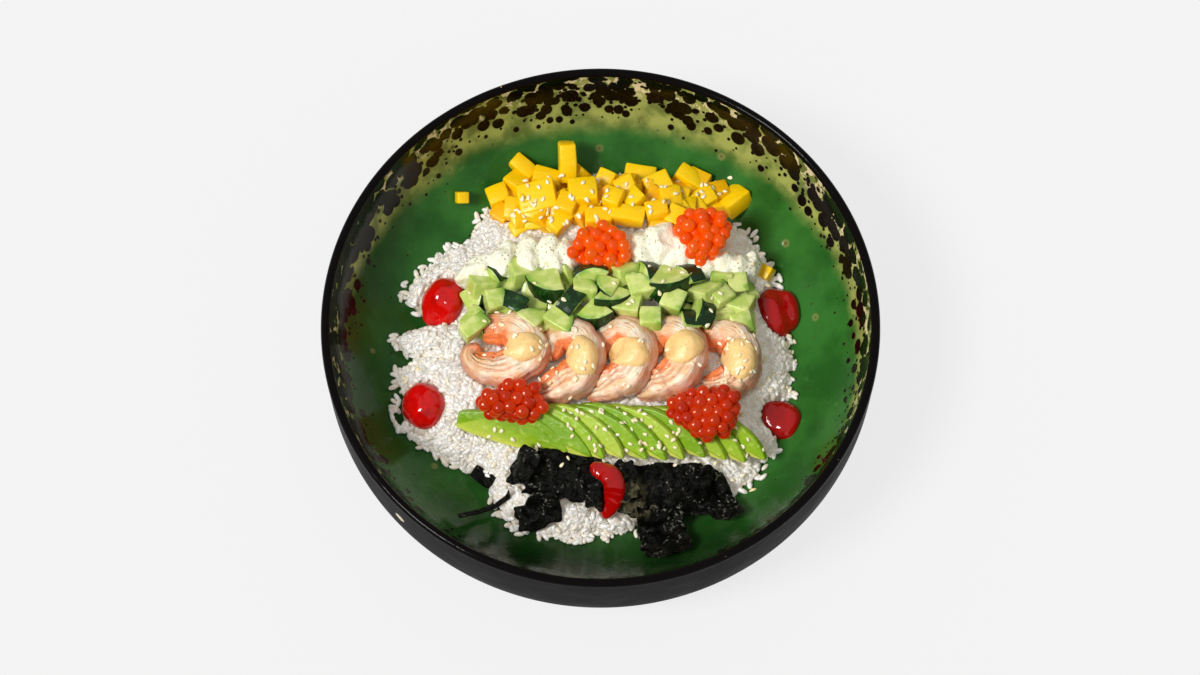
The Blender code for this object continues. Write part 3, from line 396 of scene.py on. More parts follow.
class Finish:
    """A procedural material in the making. Patterns are placed in millimetres on the object."""

    def __init__(self, name, **constants):
        self.material = bpy.data.materials.new(name)
        self.material.use_nodes = True
        self.tree = self.material.node_tree
        self.shader = self.tree.nodes["Principled BSDF"]
        for socket, value in constants.items():
            self.shader.inputs[socket.replace("_", " ")].default_value = value
        place = self.tree.nodes.new("ShaderNodeTexCoord").outputs["Object"]
        self.place = self.node("ShaderNodeMapping", Vector=place, Scale=(1 / MM,) * 3).outputs[0]

    def node(self, kind, settings=None, **inputs):
        """Adds a node, with its settings, and its inputs given as values or as other nodes' outputs."""
        made = self.tree.nodes.new(kind)
        for name, value in (settings or {}).items():
            setattr(made, name, value)
        for name, value in inputs.items():
            self.feed(made.inputs[name.replace("_", " ")], value)
        return made

    def feed(self, socket, value):
        """Links an output to a socket, or sets the socket's value."""
        if isinstance(value, bpy.types.NodeSocket):
            self.tree.links.new(value, socket)
        elif isinstance(value, tuple) and len(value) == 3 and socket.type == "RGBA":
            socket.default_value = (*value, 1)
        else:
            socket.default_value = value

    def stretched(self, *factors):
        """The place on the object, stretched along its axes."""
        return self.node("ShaderNodeMapping", Vector=self.place, Scale=factors).outputs[0]

    def clouds(self, span, detail=3.0, rough=0.55, place=None):
        """Soft noise from 0 to 1 whose blotches are about this wide."""
        made = self.node(
            "ShaderNodeTexNoise", Vector=place or self.place, Scale=1 / span, Detail=detail, Roughness=rough
        )
        return made.outputs[0]

    def dots(self, span):
        """Distance from the nearest of many scattered points about this far apart, in parts of the span."""
        return self.node("ShaderNodeTexVoronoi", Vector=self.place, Scale=1 / span).outputs["Distance"]

    def kept(self, name):
        """A number kept on the mesh's points."""
        return self.node("ShaderNodeAttribute", {"attribute_name": name}).outputs["Fac"]

    def calc(self, operation, *values):
        """A sum, product or other result of one to three numbers."""
        made = self.node("ShaderNodeMath", {"operation": operation})
        for socket, value in zip(made.inputs, values):
            self.feed(socket, value)
        return made.outputs[0]

    def times(self, first, second):
        """The product of two numbers."""
        return self.calc("MULTIPLY", first, second)

    def span(self, value, low, high, start=0.0, end=1.0):
        """A number that goes smoothly from start to end as the value goes from low to high."""
        settings = {"interpolation_type": "SMOOTHSTEP"}
        made = self.node("ShaderNodeMapRange", settings, Value=value, From_Min=low, From_Max=high)
        made.inputs["To Min"].default_value = start
        made.inputs["To Max"].default_value = end
        return made.outputs[0]

    def blend(self, share, first, second):
        """A colour between two colours."""
        made = self.node("ShaderNodeMix", {"data_type": "RGBA"})
        self.feed(made.inputs[0], share)
        self.feed(made.inputs[6], first if isinstance(first, bpy.types.NodeSocket) else tuple(first))
        self.feed(made.inputs[7], second if isinstance(second, bpy.types.NodeSocket) else tuple(second))
        return made.outputs[2]

    def nearby(self, place, far, near):
        """1 at this place in millimetres and as far as near, falling to 0 at far."""
        made = self.node("ShaderNodeVectorMath", {"operation": "DISTANCE"})
        self.feed(made.inputs[0], self.place)
        self.feed(made.inputs[1], place)
        return self.span(made.outputs["Value"], far, near)

    def relief(self, height, depth, under=None):
        """A bump of this depth in millimetres, over an earlier one if there is one."""
        made = self.node("ShaderNodeBump", Height=height, Distance=depth * MM, Strength=1.0)
        if under is not None:
            self.feed(made.inputs["Normal"], under)
        return made.outputs[0]

    def done(self, **sockets):
        """Links results to the shader and returns the material."""
        for name, value in sockets.items():
            self.feed(self.shader.inputs[name.replace("_", " ")], value)
        return self.material


class Ground:
    """What lies under a point of some pieces, seen from above. Each face starts at its lowest corner,
    so that every run finds the same heights."""

    def __init__(self, *names):
        graph = bpy.context.evaluated_depsgraph_get()
        points, faces = [], []
        for name in names:
            shown = bpy.data.objects[name].evaluated_get(graph)
            mesh = shown.to_mesh()
            start = len(points)
            points += [vert.co / MM for vert in mesh.vertices]
            for face in mesh.polygons:
                corners = list(face.vertices)
                lowest = corners.index(min(corners))
                faces.append([start + index for index in corners[lowest:] + corners[:lowest]])
            shown.to_mesh_clear()
        self.tree = BVHTree.FromPolygons(points, faces)

    def under(self, x, y):
        """The highest place under (x, y) and its normal, or None."""
        place, normal, _, _ = self.tree.ray_cast(Vector((x, y, 100)), Vector((0, 0, -1)))
        return (place, normal) if place else None

    def height(self, x, y, default=0.0):
        """The height of that place."""
        hit = self.under(x, y)
        return hit[0].z if hit else default

    def heights_round(self, x, y, reach, default):
        """The heights at (x, y) and at eight places round it."""
        steps = (-reach, 0, reach)
        return [self.height(x + a, y + b, default) for a in steps for b in steps]

    def smooth_height(self, x, y, reach, default=0.0):
        """The mean height at (x, y) and at eight places round it."""
        heights = self.heights_round(x, y, reach, default)
        return sum(heights) / len(heights)

    def highest(self, x, y, reach, default=0.0):
        """The greatest height at (x, y) and at eight places round it."""
        return max(self.heights_round(x, y, reach, default))


def finished(name, shape, materials, nodes=(), sharp=None):
    """Makes a closed shape, a bmesh or a mesh in millimetres, a piece that rides on the bowl."""
    mesh = shape
    if isinstance(shape, bmesh.types.BMesh):
        mesh = bpy.data.meshes.new(name)
        shape.to_mesh(mesh)
        shape.free()
    mesh.transform(Matrix.Scale(MM, 4))
    for material in materials:
        mesh.materials.append(material)
    mesh.shade_smooth()
    if sharp:
        mesh.set_sharp_from_angle(angle=sharp * DEG)
    piece = bpy.data.objects.new(name, mesh)
    bpy.context.scene.collection.objects.link(piece)
    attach(piece, BODY)
    if nodes:
        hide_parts(*nodes)
    return piece


def absorb(heap, part, **marks):
    """Adds a shape to a heap, with numbers kept on its points, and frees it."""
    for name, value in marks.items():
        layer = part.verts.layers.float.get(name) or part.verts.layers.float.new(name)
        for vert in part.verts:
            vert[layer] = value
    mesh = bpy.data.meshes.new("part")
    part.to_mesh(mesh)
    part.free()
    heap.from_mesh(mesh)
    bpy.data.meshes.remove(mesh)


def new_heap(*marks):
    """An empty shape whose points keep these numbers."""
    heap = bmesh.new()
    for name in marks:
        heap.verts.layers.float.new(name)
    return heap


def joined_copies(name, shape, places, tones):
    """One mesh with a copy of a small shape at every place. Its points keep the tone of their copy, and how
    far on top of it they lie, from -1 to 1, as seen from the light."""
    template = bpy.data.meshes.new(name)
    shape.to_mesh(template)
    shape.free()
    count = len(places)
    points = np.empty(len(template.vertices) * 3)
    template.vertices.foreach_get("co", points)
    points = points.reshape(-1, 3)
    corners = np.empty(len(template.loops), int)
    template.loops.foreach_get("vertex_index", corners)
    starts = np.empty(len(template.polygons), int)
    template.polygons.foreach_get("loop_start", starts)
    moves = np.array([list(map(list, place)) for place in places])
    turned = np.einsum("kij,nj->kni", moves[:, :3, :3], points) + moves[:, None, :3, 3]
    made = bpy.data.meshes.new(name)
    made.vertices.add(count * len(points))
    made.loops.add(count * len(corners))
    made.polygons.add(count * len(starts))
    step = np.arange(count)[:, None]
    made.vertices.foreach_set("co", turned.ravel())
    made.loops.foreach_set("vertex_index", (corners + step * len(points)).ravel())
    made.polygons.foreach_set("loop_start", (starts + step * len(corners)).ravel())
    made.update(calc_edges=True)
    tone = made.attributes.new("tone", "FLOAT", "POINT")
    tone.data.foreach_set("value", np.repeat(tones, len(points)))
    top = made.attributes.new("top", "FLOAT", "POINT")
    lengths = np.linalg.norm(turned - moves[:, None, :3, 3], axis=2)
    top.data.foreach_set("value", (((turned - moves[:, None, :3, 3]) @ TOWARDS_LIGHT) / lengths).ravel())
    bpy.data.meshes.remove(template)
    return made


def lay(heap, part, centre, turn, **marks):
    """Turns a shape, moves it to its centre and adds it to a heap."""
    part.transform(Matrix.Translation(centre) @ Euler(turn).to_matrix().to_4x4())
    absorb(heap, part, **marks)


def raise_to_top(bm, node):
    """Lifts a shape until its highest point is as high as its solid's."""
    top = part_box(node)[1].z / MM
    bmesh.ops.translate(bm, verts=bm.verts, vec=(0, 0, top - max(vert.co.z for vert in bm.verts)))


def wavy(vert, span, depth, seed):
    """Moves a point by smooth noise."""
    vert.co += noise.noise_vector(vert.co / span + Vector((seed, 0, 0))) * depth


def remeshed(shape, cell, rounds):
    """The outside of overlapping shapes as one even skin, smoothed."""
    mesh = bpy.data.meshes.new("lobes")
    shape.to_mesh(mesh)
    shape.free()
    holder = bpy.data.objects.new("lobes", mesh)
    bpy.context.scene.collection.objects.link(holder)
    skin = holder.modifiers.new("skin", "REMESH")
    skin.mode = "VOXEL"
    skin.voxel_size = cell
    ease = holder.modifiers.new("ease", "SMOOTH")
    ease.factor = 0.5
    ease.iterations = rounds
    bpy.context.view_layer.update()
    shown = holder.evaluated_get(bpy.context.evaluated_depsgraph_get())
    made = bmesh.new()
    made.from_mesh(shown.to_mesh())
    shown.to_mesh_clear()
    bpy.data.objects.remove(holder)
    return made


def sweep(bm, stations, sides):
    """Skins a closed tube through places that each hold a unit circle, and returns its rings of points."""
    rings = [bmesh.ops.create_circle(bm, segments=sides, radius=1, matrix=stations[0])["verts"]]
    edges = list({edge for vert in rings[0] for edge in vert.link_edges})
    first = edges
    for here, there in zip(stations, stations[1:]):
        grown = bmesh.ops.extrude_edge_only(bm, edges=edges)["geom"]
        ring = [part for part in grown if isinstance(part, bmesh.types.BMVert)]
        members = set(ring)
        edges = [part for part in grown if isinstance(part, bmesh.types.BMEdge)]
        edges = [edge for edge in edges if set(edge.verts) <= members]
        bmesh.ops.transform(bm, matrix=there @ here.inverted(), verts=ring)
        rings.append(ring)
    bmesh.ops.holes_fill(bm, edges=first + edges)
    bmesh.ops.recalc_face_normals(bm, faces=bm.faces)
    return rings


def inner_height(radius):
    """Height of the bowl's inside at a distance from its axis."""
    share = min(radius / WALL_IN, 1.0)
    return LIP_HEIGHT - DEPTH * math.sqrt(1 - share**ROUNDNESS)


def bowl_section():
    """The bowl's section, from the middle of its inside over the lip to its foot, and the lip's two ends."""
    inside = []
    for step in range(INNER_STEPS + 1):
        angle = step / INNER_STEPS * math.pi / 2
        inside.append((WALL_IN * math.sin(angle) ** (2 / ROUNDNESS), LIP_HEIGHT - DEPTH * math.cos(angle)))
    lip = []
    for step in range(1, LIP_STEPS):
        angle = math.pi * (1 - step / LIP_STEPS)
        lip.append((WALL_IN + LIP + LIP * math.cos(angle), LIP_HEIGHT + LIP * math.sin(angle)))
    outside = [(RIM, LIP_HEIGHT)]
    for step in range(OUTER_STEPS + 1):
        angle = step / OUTER_STEPS * math.pi / 2
        outside.append((
            CORNER + (RIM - CORNER) * math.cos(angle) ** (2 / BELLY),
            SHOULDER - (SHOULDER - BELLY_BOTTOM) * math.sin(angle) ** (2 / BELLY),
        ))
    return inside + lip + outside + list(FOOT)


def turned_bowl():
    """The bowl turned from its section, with its inside, its lip and its outside as three materials."""
    bm = bmesh.new()
    line = [bm.verts.new((radius, 0, height)) for radius, height in bowl_section()]
    edges = [bm.edges.new(pair) for pair in zip(line, line[1:])]
    bmesh.ops.spin(
        bm, geom=line + edges, cent=(0, 0, 0), axis=(0, 0, 1), angle=2 * math.pi, steps=TURN_STEPS,
        use_merge=True,
    )
    bmesh.ops.remove_doubles(bm, verts=bm.verts, dist=0.001)
    bmesh.ops.dissolve_degenerate(bm, edges=bm.edges, dist=0.001)
    bmesh.ops.recalc_face_normals(bm, faces=bm.faces)
    for face in bm.faces:
        middle = face.calc_center_median()
        out = math.hypot(middle.x, middle.y)
        if out < WALL_IN - 0.02 and middle.z > inner_height(out) - 1.5:
            face.material_index = 0
        elif middle.z > LIP_HEIGHT - BLACK_LIP:
            face.material_index = 1
        else:
            face.material_index = 2
    return bm


def glaze(settings):
    """The glossy inside: mottled green, an olive band, and dark spots that run together under the lip, with
    painted shade on the left and near walls.
    """
    made = Finish("reactive_glaze", Roughness=0.16, Specular_IOR_Level=0.2)
    apart = made.node("ShaderNodeSeparateXYZ", Vector=made.place)
    height = apart.outputs["Z"]
    soft = made.clouds(26, 4)
    fine = made.clouds(5, 3)
    green = made.blend(made.span(soft, 0.36, 0.66), settings.deep_green, settings.green)
    green = made.blend(made.span(fine, 0.62, 0.8, 0, 0.35), green, tint(92, 140, 74))
    # Painted shade: the left wall darkens towards a deep green.
    green = made.blend(made.span(apart.outputs["X"], -72, -100, 0, 0.45), green, tint(24, 54, 22))
    # Painted shade: the near wall darkens almost to black.
    green = made.blend(made.span(apart.outputs["Y"], -58, -104, 0, 0.8), green, tint(8, 16, 6))
    far = made.calc("MULTIPLY_ADD", apart.outputs["Y"], 0.09, height)
    edge = made.calc("MULTIPLY_ADD", made.calc("SUBTRACT", soft, 0.5), 12.0, far)
    band = made.span(edge, 40.0, 48.0)
    olive = made.blend(made.span(made.clouds(12, 4), 0.4, 0.62), settings.olive, tint(104, 116, 56))
    base = made.blend(band, green, olive)
    dimples = made.dots(24)
    base = made.blend(made.span(dimples, 0.1, 0.05, 0, 0.5), base, tint(142, 140, 84))
    base = made.blend(made.span(dimples, 0.045, 0.03, 0, 0.6), base, tint(86, 66, 38))
    flecks = made.clouds(3.6, 3, 0.6, made.stretched(1, 1, 0.6))
    light = made.times(made.span(flecks, 0.47, 0.54), made.span(height, 46.5, 54.0))
    base = made.blend(light, base, settings.ivory)
    spots = made.dots(settings.spot_size / MM)
    small = made.dots(settings.spot_size / MM * 0.52)
    crowd = made.clouds(20, 2)
    grow = made.span(height, 31.0, 49.0, 0.05, 0.6)
    grow = made.times(grow, made.span(crowd, 0.32, 0.6, 0.76, 1.1))
    grow = made.times(grow, made.span(apart.outputs["X"], -50.0, -112.0, 1.0, 1.16))
    dark = made.span(made.calc("SUBTRACT", spots, grow), 0.015, -0.015)
    speck = made.span(made.calc("SUBTRACT", small, made.times(grow, 0.62)), 0.03, -0.02)
    dark = made.calc("MAXIMUM", dark, speck)
    halo = made.span(made.calc("SUBTRACT", spots, grow), 0.09, 0.0, 0, 0.4)
    base = made.blend(halo, base, tint(70, 50, 22))
    base = made.blend(dark, base, settings.spots)
    bumps = made.relief(made.clouds(9, 3), 0.35)
    bumps = made.relief(dark, 0.16, bumps)
    bumps = made.relief(made.span(dimples, 0.12, 0.02), -0.2, bumps)
    return made.done(Base_Color=base, Normal=bumps)


def lip_glaze():
    """The glossy black lip, with a few worn tan chips in its inner edge."""
    made = Finish("lip_glaze", Roughness=0.14, Specular_IOR_Level=0.07)
    chips = made.span(made.clouds(4.2, 3, 0.6), 0.74, 0.78)
    base = made.blend(made.clouds(8), tint(5, 4, 4), tint(12, 9, 8))
    return made.done(
        Base_Color=made.blend(chips, base, tint(196, 168, 116)), Normal=made.relief(made.clouds(6, 3), 0.2)
    )


def bisque(settings):
    """The matte charcoal outside, a little uneven, with fine pores."""
    made = Finish("charcoal_bisque", Roughness=0.5, Specular_IOR_Level=0.02)
    tone = made.clouds(30, 4)
    base = made.blend(made.span(tone, 0.3, 0.7), settings.charcoal, tint(34, 32, 33))
    base = made.blend(made.span(made.dots(3.2), 0.16, 0.1, 0, 0.5), base, tint(19, 17, 18))
    base = made.blend(made.nearby(FLECK, *FLECK_REACH), base, tint(206, 196, 172))
    bumps = made.relief(made.clouds(1.6, 4), 0.1)
    bumps = made.relief(made.clouds(14, 2), 0.5, bumps)
    return made.done(Base_Color=base, Normal=bumps, Roughness=made.span(tone, 0.3, 0.7, 0.42, 0.56))


def rice_finish(settings, name, painted_gap_shade):
    """Cooked rice: a soft translucent white with a faint painted glow, cloudier in the middle of a grain.
    The bed under the loose grains gets painted shade for the gaps between them.
    """
    # Painted light: both rice finishes glow faintly in a warm white, so that they look brighter.
    made = Finish(
        name, Roughness=0.36, Subsurface_Weight=0.6, Subsurface_Scale=1.2 * MM,
        Subsurface_Radius=(1.6, 1.4, 1.1), Emission_Strength=0.06, Emission_Color=(1, 0.93, 0.84, 1),
    )
    tone = made.kept("tone") if not painted_gap_shade else made.clouds(5, 3)
    base = made.blend(made.span(tone, 0.0, 1.0), tint(228, 217, 199), settings.white)
    bumps = made.relief(made.clouds(1.3, 3), 0.12)
    if painted_gap_shade:
        cells = made.dots(2.6)
        # Painted shade: most of the bed, which shows only between the loose grains, turns a darker
        # grey-cream.
        base = made.blend(made.span(cells, 0.3, 0.8, 0.55, 0.95), base, tint(178, 168, 146))
        bumps = made.relief(cells, -0.8, bumps)
    return made.done(Base_Color=base, Normal=bumps)


def rice_edge(angle):
    """Distance of the rice's edge from the bowl's axis, in a direction."""
    reach = RICE_REACH
    for direction, width, rise in RICE_BULGES:
        away = (angle / DEG - direction + 180) % 360 - 180
        reach += rise * math.exp(-((away / width) ** 2))
    ragged = noise.noise(Vector((math.cos(angle), math.sin(angle), 0)) * 9)
    fringe = noise.noise(Vector((math.cos(angle), math.sin(angle), 3)) * 24)
    return reach + 1.8 * ragged + 1.6 * fringe


def rice_height(x, y):
    """Height of the rice's core: a low mound that drops to the bowl at its edge, in soft clumps."""
    reach = rice_edge(math.atan2(y, x))
    share = min(math.hypot(x, y) / reach, 1.0)
    low = inner_height(reach) + RICE_EDGE
    height = low + (RICE_TOP - low) * (1 - share**RICE_SHOULDER) ** RICE_ROUNDING
    clumps = noise.noise(Vector((x, y, 0)) / 9) + 0.6 * noise.noise(Vector((x, y, 5)) / 4)
    return height + RICE_LUMP * clumps * min(1.0, 6 * (1 - share))


def rice_core():
    """The bed of rice under the loose grains, its underside just clear of the bowl."""
    bm = bmesh.new()
    bmesh.ops.create_uvsphere(bm, u_segments=180, v_segments=96, radius=1)
    for vert in bm.verts:
        fall = math.acos(max(-1.0, min(1.0, vert.co.z))) / (math.pi / 2)
        angle = math.atan2(vert.co.y, vert.co.x)
        share = min(fall, 2 - fall) ** 0.75
        reach = share * rice_edge(angle)
        x, y = reach * math.cos(angle), reach * math.sin(angle)
        vert.co = (x, y, rice_height(x, y) if fall <= 1 else inner_height(reach) + RICE_GAP)
    return bm


def grain_shape(long, wide):
    """One cooked grain, a little bent and narrower at its ends."""
    bm = bmesh.new()
    bmesh.ops.create_uvsphere(
        bm, u_segments=6, v_segments=4, radius=1, matrix=Matrix.Rotation(90 * DEG, 4, "Y")
    )
    for vert in bm.verts:
        share = vert.co.x
        vert.co = (share * long / 2, vert.co.y * wide / 2 + 0.1 * wide * share**2, vert.co.z * wide * 0.46)
    bmesh.ops.recalc_face_normals(bm, faces=bm.faces)
    return bm


def lie_on(place, normal, turn, pitch, lift):
    """The place of a small thing that lies on a surface, turned on it and pitched up at one end."""
    upright = Vector((0, 0, 1)).rotation_difference(normal.normalized()).to_matrix().to_4x4()
    turned = upright @ Matrix.Rotation(turn, 4, "Z") @ Matrix.Rotation(pitch, 4, "Y")
    return Matrix.Translation(place + normal.normalized() * lift) @ turned


def grain_places(settings, toppings):
    """Where the loose grains lie: over all rice that shows, thickest along its edge, and a few strays."""
    rng = random.Random(4)
    rice = Ground("rice_core")
    bed = Ground("rice_core", "bowl_glazed")
    sauces = Ground(*(name for name in MADE if name.endswith("_drop")))
    places = []
    wide = settings.grain_width / MM
    while len(places) < settings.grains:
        angle = rng.uniform(0, 2 * math.pi)
        edge = rice_edge(angle)
        stray = rng.random() < STRAY_GRAINS
        share = rng.uniform(*STRAY_BAND) if stray else 1 - abs(rng.gauss(0, GRAIN_SPREAD))
        if not 0 < share < 1.07:
            continue
        x, y = share * edge * math.cos(angle), share * edge * math.sin(angle)
        hit = (bed if share > 0.99 else rice).under(x, y)
        if hit is None:
            continue
        place, normal = hit
        beside = [(x + a, y + b) for a, b in ((-2, 0), (2, 0), (0, -2), (0, 2))]
        if any(sauces.under(*spot) for spot in beside):
            continue
        around = [toppings.height(*spot) for spot in beside]
        if min(around) > place.z + 1.5 or toppings.height(x, y) > place.z + 0.4:
            continue
        lift = rng.uniform(-0.1, 0.75) * wide if share < 0.99 else 0.4 * wide
        turned = lie_on(place, normal, rng.uniform(0, 2 * math.pi), rng.gauss(0, 20) * DEG, lift)
        rolled = turned @ Matrix.Rotation(rng.uniform(0, 6), 4, "X")
        places.append(rolled @ Matrix.Scale(rng.uniform(0.85, 1.08), 4))
    return places


def mango_finish(settings):
    """Ripe mango: wet, golden, with fine fibres and deeper patches."""
    made = Finish(
        "mango_flesh", Roughness=0.3, Specular_IOR_Level=0.35, Subsurface_Weight=0.25,
        Subsurface_Scale=1.5 * MM, Subsurface_Radius=(2.0, 1.0, 0.2),
    )
    patches = made.times(made.clouds(9), 0.5)
    tone = made.calc("MULTIPLY_ADD", made.kept("tone"), 0.6, patches)
    base = made.blend(made.span(tone, 0.5, 0.95), settings.mango, settings.mango_deep)
    fibres = made.clouds(2.2, 4, 0.6, made.stretched(0.35, 1, 1))
    base = made.blend(made.span(fibres, 0.55, 0.8, 0, 0.4), base, tint(255, 222, 60))
    bumps = made.relief(fibres, 0.3)
    return made.done(Base_Color=base, Normal=bumps, Roughness=made.span(fibres, 0.3, 0.7, 0.24, 0.42))


def die(heap, centre, edges, turn, seed, rounding=0.8, warp=0.5, **marks):
    """One cut die: eased edges and slightly wavy faces."""
    part = bmesh.new()
    bmesh.ops.create_cube(part, size=1, matrix=Matrix.Diagonal((*edges, 1)))
    bmesh.ops.bevel(
        part, geom=part.edges[:], offset=rounding, segments=2, affect="EDGES", profile=0.5, material=-1
    )
    bmesh.ops.subdivide_edges(part, edges=part.edges[:], cuts=1, use_grid_fill=True)
    for vert in part.verts:
        wavy(vert, 7, warp, seed)
    lay(heap, part, centre, turn, **marks)


def mound(x, y, centre, radii):
    """1 in the middle of a heap, 0 at its edge."""
    out = abs((x - centre[0]) / radii[0]) ** 3 + abs((y - centre[1]) / radii[1]) ** 3
    return max(0.0, 1 - out) ** 0.5


def mango_heap(ground):
    """Dice in two layers: the lower ones fill the heap, and the upper ones lie as named."""
    rng = random.Random(21)
    heap = new_heap("tone")
    for number in range(MANGO_FILL):
        x = MANGO_CENTRE[0] + MANGO_RADII[0] * rng.uniform(-0.94, 0.94)
        y = MANGO_CENTRE[1] + MANGO_RADII[1] * rng.uniform(-0.8, 0.8)
        rise = 0.45 * MANGO_RISE * mound(x, y, MANGO_CENTRE, MANGO_RADII)
        edges = [rng.uniform(*MANGO_EDGES) for _ in range(3)]
        turn = (rng.gauss(0, 14) * DEG, rng.gauss(0, 14) * DEG, rng.uniform(0, math.pi))
        centre = Vector((x, y, ground.smooth_height(x, y, 3) + rise + 1.5))
        die(heap, centre, edges, turn, number, tone=rng.uniform(0.4, 1))
    for number, (x, y, long, wide, turn) in enumerate(MANGO_DICE):
        tall = rng.uniform(*MANGO_TALL)
        rise = MANGO_RISE * mound(x, y, MANGO_CENTRE, MANGO_RADII) + rng.uniform(-0.8, 1.2)
        centre = Vector((x, y, ground.smooth_height(x, y, 3) + rise + 0.5 * tall - 2))
        turns = (rng.gauss(0, 11) * DEG, rng.gauss(0, 11) * DEG, turn * DEG)
        die(heap, centre, (long, wide, tall), turns, MANGO_FILL + 4 + number, tone=rng.uniform(0, 0.75))
    die(heap, Vector(MANGO_PRISM), MANGO_PRISM_EDGES, (-52 * DEG, 6 * DEG, 0.1), 99, tone=0.1)
    return heap


def stray_die(name, edge, turn):
    """A small die that lies apart, in the place of its solid."""
    low, high = (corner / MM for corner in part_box(name))
    middle = (low + high) / 2
    slope = math.atan2(inner_height(middle.xy.length + 3) - inner_height(middle.xy.length - 3), 6)
    outward = math.atan2(middle.y, middle.x)
    level = Matrix.Rotation(outward, 3, "Z") @ Matrix.Rotation(-slope, 3, "Y")
    lean = level @ Matrix.Rotation(turn * DEG - outward, 3, "Z")
    heap = new_heap("tone")
    die(heap, middle, (edge,) * 3, lean.to_euler(), 3, 0.5, 0.25, tone=0.3)
    return heap


def cucumber_flesh(settings):
    """Wet pale flesh that turns green under the peel, with faint seeds round the middle."""
    made = Finish(
        "cucumber_flesh", Roughness=0.22, Subsurface_Weight=0.3, Subsurface_Scale=1.5 * MM,
        Subsurface_Radius=(1.2, 2.0, 0.6),
    )
    rind = made.kept("rind")
    base = made.blend(made.span(rind, 0.74, 1.0), settings.cucumber, settings.cucumber_rim)
    base = made.blend(made.span(rind, 0.5, 0.1, 0, 0.45), base, tint(190, 206, 110))
    # Paler patches: partly the flesh's own colour and partly painted highlight.
    base = made.blend(made.span(made.clouds(6, 3), 0.42, 0.62, 0, 0.6), base, tint(228, 232, 152))
    base = made.blend(made.span(rind, 0.96, 1.0, 0, 0.8), base, tint(84, 128, 38))
    return made.done(Base_Color=base, Normal=made.relief(made.clouds(2.4, 3), 0.22))


def cucumber_peel(settings):
    """Dark glossy peel with faint lighter streaks along the fruit."""
    made = Finish("cucumber_peel", Roughness=0.26, Specular_IOR_Level=0.35)
    streaks = made.clouds(3.5, 3, 0.6, made.stretched(1, 1, 0.3))
    base = made.blend(made.span(streaks, 0.5, 0.75), settings.peel, tint(40, 86, 24))
    return made.done(Base_Color=base, Normal=made.relief(streaks, 0.25))


def cut_block(cuts, rounding):
    """A unit block with even facets and eased edges."""
    part = bmesh.new()
    bmesh.ops.create_cube(part, size=1)
    bmesh.ops.subdivide_edges(part, edges=part.edges[:], cuts=cuts, use_grid_fill=True)
    edges = [edge for edge in part.edges if edge.calc_face_angle(0) > 1]
    bmesh.ops.bevel(part, geom=edges, offset=rounding, segments=2, affect="EDGES", profile=0.5, material=-1)
    return part


def wedge(heap, centre, radius, thick, turn, seed):
    """A slice of cucumber cut in wedges: flat cut sides and a round side with the peel."""
    part = cut_block(4, 0.05)
    layer = part.verts.layers.float.new("rind")
    for vert in part.verts:
        out = 0.04 + 0.96 * (vert.co.x + 0.5)
        angle = vert.co.y * WEDGE_OPENING * DEG
        vert[layer] = out
        side = radius * out * math.sin(angle)
        vert.co = (radius * (out * math.cos(angle) - 0.55), side, thick * vert.co.z)
    for face in part.faces:
        face.material_index = int(all(vert[layer] > PEEL_FROM for vert in face.verts))
    for vert in part.verts:
        wavy(vert, 8, 0.35, seed)
    part.transform(Matrix.Translation(centre) @ Euler(turn).to_matrix().to_4x4())
    bmesh.ops.recalc_face_normals(part, faces=part.faces)
    absorb(heap, part)


def peeled_block(heap, centre, edges, turn, seed):
    """A die or a stick of cucumber with peel on one side."""
    part = cut_block(3, 0.06)
    layer = part.verts.layers.float.new("rind")
    for vert in part.verts:
        vert[layer] = 0.5 + (vert.co.x + 0.5) * 0.5
    for face in part.faces:
        face.material_index = int(all(vert[layer] > PEEL_FROM for vert in face.verts))
    part.transform(Matrix.Diagonal((*edges, 1)))
    for vert in part.verts:
        wavy(vert, 8, 0.35, seed)
    lay(heap, part, centre, turn)


def cucumber_heap(ground):
    """Pieces as named on top, over pieces that fill the heap."""
    rng = random.Random(8)
    heap = new_heap("rind")
    for number in range(CUCUMBER_FILL):
        x, y = rng.uniform(*CUCUMBER_FILL_ACROSS), rng.uniform(*CUCUMBER_FILL_DEEP)
        centre = Vector((x, y, ground.smooth_height(x, y, 3) + 3.5))
        turn = (rng.gauss(0, 22) * DEG, rng.gauss(0, 22) * DEG, rng.uniform(0, 6.28))
        wedge(heap, centre, rng.uniform(9, 12), rng.uniform(7, 9), turn, number)
    for number, (x, y, radius, thick, turn, lies) in enumerate(CUCUMBER_PIECES):
        middle = mound(x, y, CUCUMBER_CENTRE, CUCUMBER_RADII)
        rise = 2.5 + CUCUMBER_RISE * middle * rng.uniform(0.75, 1)
        centre = Vector((x, y, ground.smooth_height(x, y, 3) + rise))
        spin = Matrix.Rotation(turn * DEG, 3, "Z")
        lean = Euler((rng.gauss(-24, 9) * DEG, rng.gauss(0, 9) * DEG, 0)).to_matrix()
        if lies == "die":
            lean = Euler((rng.gauss(0, 8) * DEG, rng.gauss(0, 8) * DEG, 0)).to_matrix()
            peeled_block(heap, centre, (radius, radius, thick), (lean @ spin).to_euler(), number)
        elif lies == "peel":
            side_up = Matrix.Rotation(-62 * DEG, 3, "Y")
            wedge(heap, centre, radius, thick, (lean @ spin @ side_up).to_euler(), number)
        else:
            if lies == "round":
                spin = Matrix.Rotation((-90 + rng.uniform(-50, 35)) * DEG, 3, "Z")
            wedge(heap, centre, radius, thick, (lean @ spin).to_euler(), number)
    x, y, long, wide, tall, turn = CUCUMBER_STICK
    centre = Vector((x, y, ground.height(x, y) + 11))
    peeled_block(heap, centre, (long, wide, tall), (0, 0.1, turn * DEG), 77)
    return heap


